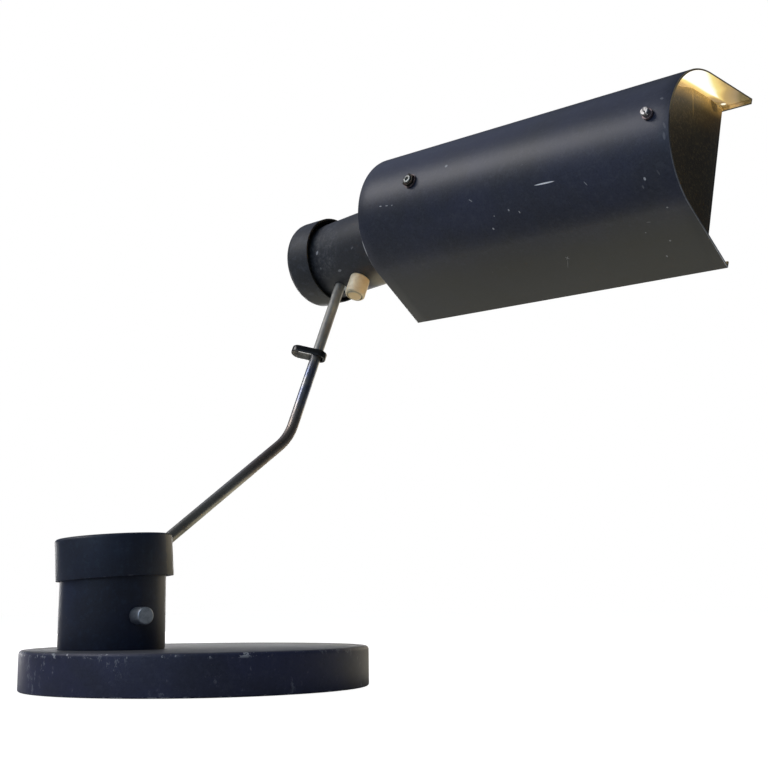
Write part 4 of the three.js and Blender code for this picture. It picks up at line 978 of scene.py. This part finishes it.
def build_head_cap():
    """The deep cap behind the tube, and its domed screw."""
    back = HEAD_CAP_RIM + HEAD_CAP_LENGTH
    ceiling = back - HEAD_CAP_WALL
    inner, outer = HEAD_CAP_R - HEAD_CAP_WALL, HEAD_CAP_R - 0.02
    cap = spun([
        (0, ceiling), (inner, ceiling), (inner, HEAD_CAP_RIM), (outer, HEAD_CAP_RIM),
        (outer, back), (0, back),
    ], [(outer, back, HEAD_CAP_EDGE), (inner, ceiling, HEAD_CAP_EDGE - HEAD_CAP_WALL)], 128, 0.2)
    cap = finished("tube_cap", cap, HEAD_BACK, [HEAD_CAP_PAINT], "arm", ["head_cap"])
    shank, head, seat, top = 2.0, 3.8, back + 0.05, back + 2.45
    screw_hole = bar(shank + 0.3, back - 3, back + 2)
    carve(cap, (screw_hole, HEAD_BACK))
    screw = spun(headed_section(shank, head, back - 12, seat, top), [(head, top, 0.8)], 40, 0.1)
    screw = finished("tube_cap_screw", screw, HEAD_BACK, [STEEL], "arm", ["head_cap_screw"])
    carve(screw, (driver_slot(5, 0.5, top - 1), HEAD_BACK))


def build_switch():
    """The push switch under the tube: a collar that sits on the tube's skin, and the plunger."""
    hole = BUTTON_R + 0.3
    section = ring_section(hole, COLLAR_R, COLLAR_FOOT, COLLAR_TOP)
    collar = spun(section, [(COLLAR_R, COLLAR_TOP, 1.2), (hole, COLLAR_TOP, 0.35)], 72)
    collar = finished("collar", collar, SWITCH, [IVORY], "head", ["switch_collar"])
    tube_outside = bar(TUBE_R + 0.3, -40, 40, 128, 0)
    carve(collar, (tube_outside, HEAD_FRONT))
    section = headed_section(PLUNGER_R, BUTTON_R, PLUNGER_FOOT, PLUNGER_TOP, BUTTON_TOP)
    button = spun(section, [(BUTTON_R, BUTTON_TOP, 1.3)], 64)
    finished("button", button, SWITCH, [IVORY], "switch", ["switch_button"])


# ---- shade ----
def trough_section(radius):
    """The trough's section as a wire in (m, n): lips, flat sides and ridge arc, from end to end."""
    bm = bmesh.new()
    start = bm.verts.new((0, -radius * math.sin(SPLAY), radius * math.cos(SPLAY)))
    bmesh.ops.spin(bm, geom=[start], cent=(0, 0, 0), axis=(1, 0, 0), angle=math.pi - 2 * SPLAY, steps=64)
    for side in (1, -1):
        end = [v for v in bm.verts if len(v.link_edges) == 1 and v.co.z * side > 0][0]
        for dm, dn in ((SHADE_LEG * math.cos(SPLAY), SHADE_LEG * math.sin(SPLAY)), (0.0, -LIP)):
            end = bmesh.ops.extrude_vert_indiv(bm, verts=[end])["verts"][0]
            bmesh.ops.translate(bm, verts=[end], vec=(0, dm, dn * side))
    return bm


def build_trough():
    """The shade's bent sheet, painted outside and enamelled inside."""
    bm = trough_section(SHADE_R - 0.04)
    drawn(bm, bm.edges[:], (SHADE_LENGTH, 0, 0))
    lengthwise = [e for e in bm.edges if abs(e.verts[0].co.x - e.verts[1].co.x) > 1]
    bmesh.ops.subdivide_edges(bm, edges=lengthwise, cuts=24)
    merged(bm)
    ridge_face = min(bm.faces, key=lambda f: f.calc_center_median().y)
    if ridge_face.normal.y > 0:
        bmesh.ops.reverse_faces(bm, faces=bm.faces)
    shell = finished(
        "trough", bm, SHADE, [SHADE_OUTSIDE, SHADE_INSIDE], "head", ["shade"], closed=False)
    wall = thicken(shell, SHEET, -1.0, even=True)
    wall.material_offset, wall.material_offset_rim = 1, 0
    soften(shell, 0.3, 2, 50.0)


def build_baffle():
    """The plate across the trough near its front, and the tab that runs from it under the ridge."""
    inner = SHADE_R - SHEET - 0.4

    def side_at(m):
        """How far across the trough's flat side is, at m."""
        return inner * math.cos(SPLAY) + (m + inner * math.sin(SPLAY)) * math.tan(SPLAY)

    first, sweep, count = 112, 136, 32
    bearings = [math.radians(first + sweep * i / count) for i in range(count + 1)]
    outline = [BAFFLE_FAR_CORNER, (17, side_at(17)), (-4, side_at(-4))]
    outline += [(BAFFLE_APEX_R * math.cos(a), BAFFLE_APEX_R * math.sin(a)) for a in bearings]
    outline += [(-4, -side_at(-4)), (17, -side_at(17)), BAFFLE_NEAR_CORNER]
    plate = bmesh.new()
    plate.faces.new([plate.verts.new((0, m, n)) for m, n in outline])
    baffle = finished(
        "baffle", plate, BAFFLE_FRAME, [BAFFLE], "head", ["end_baffle"], closed=False)
    if baffle.data.polygons[0].normal.dot(SHADE.col[0].to_3d()) < 0:
        baffle.data.flip_normals()
    thicken(baffle, BAFFLE_T, 1.0)
    soften(baffle, 0.2)

    half = BAFFLE_T / 2
    under = half - math.sqrt((SHADE_R - SHEET - 0.3) ** 2 - (TAB_W / 2) ** 2)
    reach = FRONT_SCREW_S - BAFFLE_S + 5
    bm = bmesh.new()
    chain = wire(bm, [(s, m, -TAB_W / 2) for s, m in ((half, -38), (half, under), (reach, under))])
    bmesh.ops.bevel(bm, geom=[chain[1]], offset=1.0, segments=5, affect="VERTICES", profile=0.5, material=-1)
    drawn(bm, bm.edges[:], (0, 0, TAB_W))
    bmesh.ops.recalc_face_normals(bm, faces=bm.faces)
    tab_frame = place(BAFFLE_FRAME, (0, 0, 0), ("X", RIDGE_TURN))
    tab = finished("baffle_tab", bm, tab_frame, [BAFFLE], "head", [], closed=False)
    thicken(tab, TAB_T, 0.0)
    soften(tab, 0.15)


# ---- fixings on the ridge ----
def on_ridge(s):
    """A frame on the ridge's axis, with Z out through the ridge."""
    return place(RIDGE, (s, 0, 0), ("X", 90))


def washer(name, node, ridge_frame, hole, radius, foot, top, steps, edge):
    """A flat ring round a fixing."""
    bm = spun(ring_section(hole, radius, foot, top), steps=steps, edge=edge)
    finished(name, bm, ridge_frame, [DARK_STEEL], "head", [node])


def build_fixings():
    """The stud with its nut and washer at the back of the ridge, and the slotted screw at its front."""
    skin = SHADE_R
    rear, front = on_ridge(REAR_BOLT_S), on_ridge(FRONT_SCREW_S)
    head, thread, foot, seat, top = 4.2, 2.65, 38.7, 41.7, skin + 4
    stud = spun([
        (0, foot), (head, foot), (head, seat), (thread, seat), (thread, top), (1.35, top),
        (1.15, top - 1.4), (0, top - 1.4),
    ], [(thread, top, 0.45)], 40, 0.15)
    finished("rear_stud", stud, rear, [WORN_STEEL], "head", ["rear_bolt"])
    washer("rear_washer_ring", "rear_washer", rear, 2.9, 4.7, skin + 0.3, skin + 1.1, 48, 0.12)
    hexagon = bar(NUT_FLATS / math.sqrt(3), skin + 1.15, skin + 2.9, 6, 0.35)
    nut = finished("rear_nut_hex", hexagon, rear, [BLACK_STEEL], "head", ["rear_nut"])
    carve(nut, (bar(thread + 0.25, 40, 60), rear))
    shank, head, foot, seat, top = 1.5, 2.55, 40.0, skin + 1.8, skin + 4.9
    screw = spun(headed_section(shank, head, foot, seat, top), [(head, top, 0.5)], 40, 0.12)
    screw = finished("front_cheese_head", screw, front, [STEEL], "head", ["front_screw"])
    carve(screw, (driver_slot(3, 0.4, skin + 3.3), place(front, (0, 0, 0), ("Z", -60))))
    washer("front_washer_ring", "front_washer", front, 1.75, 3.35, skin + 0.3, skin + 1.75, 40, 0.2)


# ---- bulb ----
def build_bulb():
    """The globe: an arc from its tip, then the neck, spun and smoothed where the two meet."""
    bm = bmesh.new()
    tip = bm.verts.new((0, 0, BULB_FRONT))
    bmesh.ops.spin(
        bm, geom=[tip], cent=(0, 0, BULB_FRONT - BULB_R), axis=(0, 1, 0), angle=math.radians(140), steps=36)
    last = [v for v in bm.verts if len(v.link_edges) == 1 and v is not tip][0]
    neck = wire(bm, [
        (15.6, 0, BULB_BACK + 12), (14.2, 0, BULB_BACK + 5), (BULB_NECK_R, 0, BULB_BACK), (0, 0, BULB_BACK)])
    bm.edges.new((last, neck[0]))
    turned(bm, 72)
    meeting = [v for v in bm.verts if BULB_BACK + 1 < v.co.z < BULB_BACK + 25]
    for _ in range(4):
        bmesh.ops.smooth_vert(
            bm, verts=meeting, factor=0.5, use_axis_x=True, use_axis_y=True, use_axis_z=True)
    finished("bulb", bm, HEAD_FRONT, [BULB], "arm", ["bulb_glass"])


for build in (build_base, build_cap, build_rod, build_clip, build_tube, build_head_cap, build_switch,
              build_trough, build_baffle, build_fixings, build_bulb):
    build()

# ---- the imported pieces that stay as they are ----
KEPT = {
    STEEL: [
        "post_screw_1", "post_screw_2", "post_screw_3", "arm_set_screw", "block_set_screw", "roll_washer",
        "roll_nut", "tube_bulkhead", "shade_strap", "strap_rivet_1", "strap_rivet_2", "front_nut"],
    ALUMINIUM: ["swivel_hub", "pivot_block"],
    BRASS: ["spindle", "screw_shell", "centre_contact", "bulb_cap"],
    BAKELITE: ["lampholder", "switch_body"],
    NYLON: ["thrust_washer"],
}
for material, names in KEPT.items():
    for name in names:
        mesh = NODES[name].data
        mesh.materials.clear()
        mesh.materials.append(material)


# ---- floor and lights ----
def to_output(tree, output, factor, first, second):
    """Sends a mix of two shaders to the tree's output."""
    blend = tree.nodes.new("ShaderNodeMixShader")
    for key, source in enumerate((factor, first, second)):
        tree.links.new(source, blend.inputs[key])
    tree.links.new(blend.outputs[0], tree.nodes[output].inputs["Surface"])


def make_floor():
    """A plain pale floor, which melts into the white background."""
    bm = bmesh.new()
    bmesh.ops.create_circle(bm, cap_ends=True, segments=96, radius=12.0)
    mesh = bpy.data.meshes.new("floor")
    bm.to_mesh(mesh)
    bm.free()
    floor = into_scene("floor", mesh)
    finish = Finish("floor")
    grain = finish.noise(finish.where(), 0.01, 3.0)
    finish.feed(
        Base_Color=finish.mix(grain, (0.50, 0.50, 0.50), (0.54, 0.54, 0.53)), Roughness=0.7 + grain * 0.1)
    white = finish.tree.nodes.new("ShaderNodeEmission")
    white.inputs["Strength"].default_value = FLOOR_GLOW
    seen = finish.node("ShaderNodeLightPath", output="Is Camera Ray") * FLOOR_BLEND
    to_output(finish.tree, "Material Output", seen.socket, finish.shader.outputs[0], white.outputs[0])
    mesh.materials.append(finish.material)


def make_world():
    """White to the camera, a dim cool room to everything else."""
    world = bpy.data.worlds.new("studio")
    bpy.context.scene.world = world
    world.use_nodes = True
    tree = world.node_tree
    room = tree.nodes["Background"]
    room.inputs["Color"].default_value = (0.78, 0.88, 1.0, 1.0)
    room.inputs["Strength"].default_value = ROOM_GLOW
    backdrop = tree.nodes.new("ShaderNodeBackground")
    backdrop.inputs["Color"].default_value = (1.0, 1.0, 1.0, 1.0)
    seen = tree.nodes.new("ShaderNodeLightPath").outputs["Is Camera Ray"]
    to_output(tree, "World Output", seen, room.outputs[0], backdrop.outputs[0])


def panel(name, size, glow, color):
    """A rectangular light that the camera doesn't see; glow is its brightness, with white at 1."""
    data = bpy.data.lights.new(name, "AREA")
    data.shape, data.size, data.size_y = "RECTANGLE", size[0], size[1]
    data.energy, data.color = glow * math.pi * size[0] * size[1], color
    light = into_scene(name, data)
    light.visible_camera = False
    return light


def soft_light(name, azimuth, elevation, distance, size, glow, color):
    """A soft panel that faces the lamp, in a direction from it."""
    light = panel(name, size, glow, color)
    a, e = math.radians(azimuth), math.radians(elevation)
    away = Vector((math.cos(e) * math.cos(a), math.cos(e) * math.sin(a), math.sin(e)))
    light.location = LIT_PLACE + away * distance
    light.rotation_euler = (-away).to_track_quat("-Z", "Y").to_euler()


def bounce_card(name, position, size, glow, color):
    """Light thrown up from a patch of the floor, as from a pale table top."""
    light = panel(name, size, glow, color)
    light.location, light.rotation_euler = position, (math.pi, 0.0, 0.0)


make_floor()
make_world()
soft_light("window", 160, 40.5, 2.0, (1.3, 0.64), 5.4, (1.0, 0.98, 0.98))
soft_light("left_front", -150, 22, 1.8, (1.8, 1.3), 0.95, (0.58, 0.75, 1.0))
soft_light("above_behind", 104, 56, 2.0, (1.7, 1.2), 0.36, (0.66, 0.72, 1.0))
soft_light("right_behind", 37, 8.0, 1.8, (1.2, 0.75), 1.45, (1.0, 0.87, 0.66))
soft_light("low_behind", 86, -2.6, 2.0, (1.9, 0.22), 9.0, (1.0, 0.98, 0.97))
bounce_card("under_shade", (0.33, 0.14, 0.002), (0.42, 0.68), 0.64, (1.0, 0.93, 0.68))
bounce_card("behind_base", (0.01, 0.34, 0.002), (0.20, 0.42), 0.50, (1.0, 0.95, 0.80))
bpy.context.scene.view_settings.view_transform = "Standard"
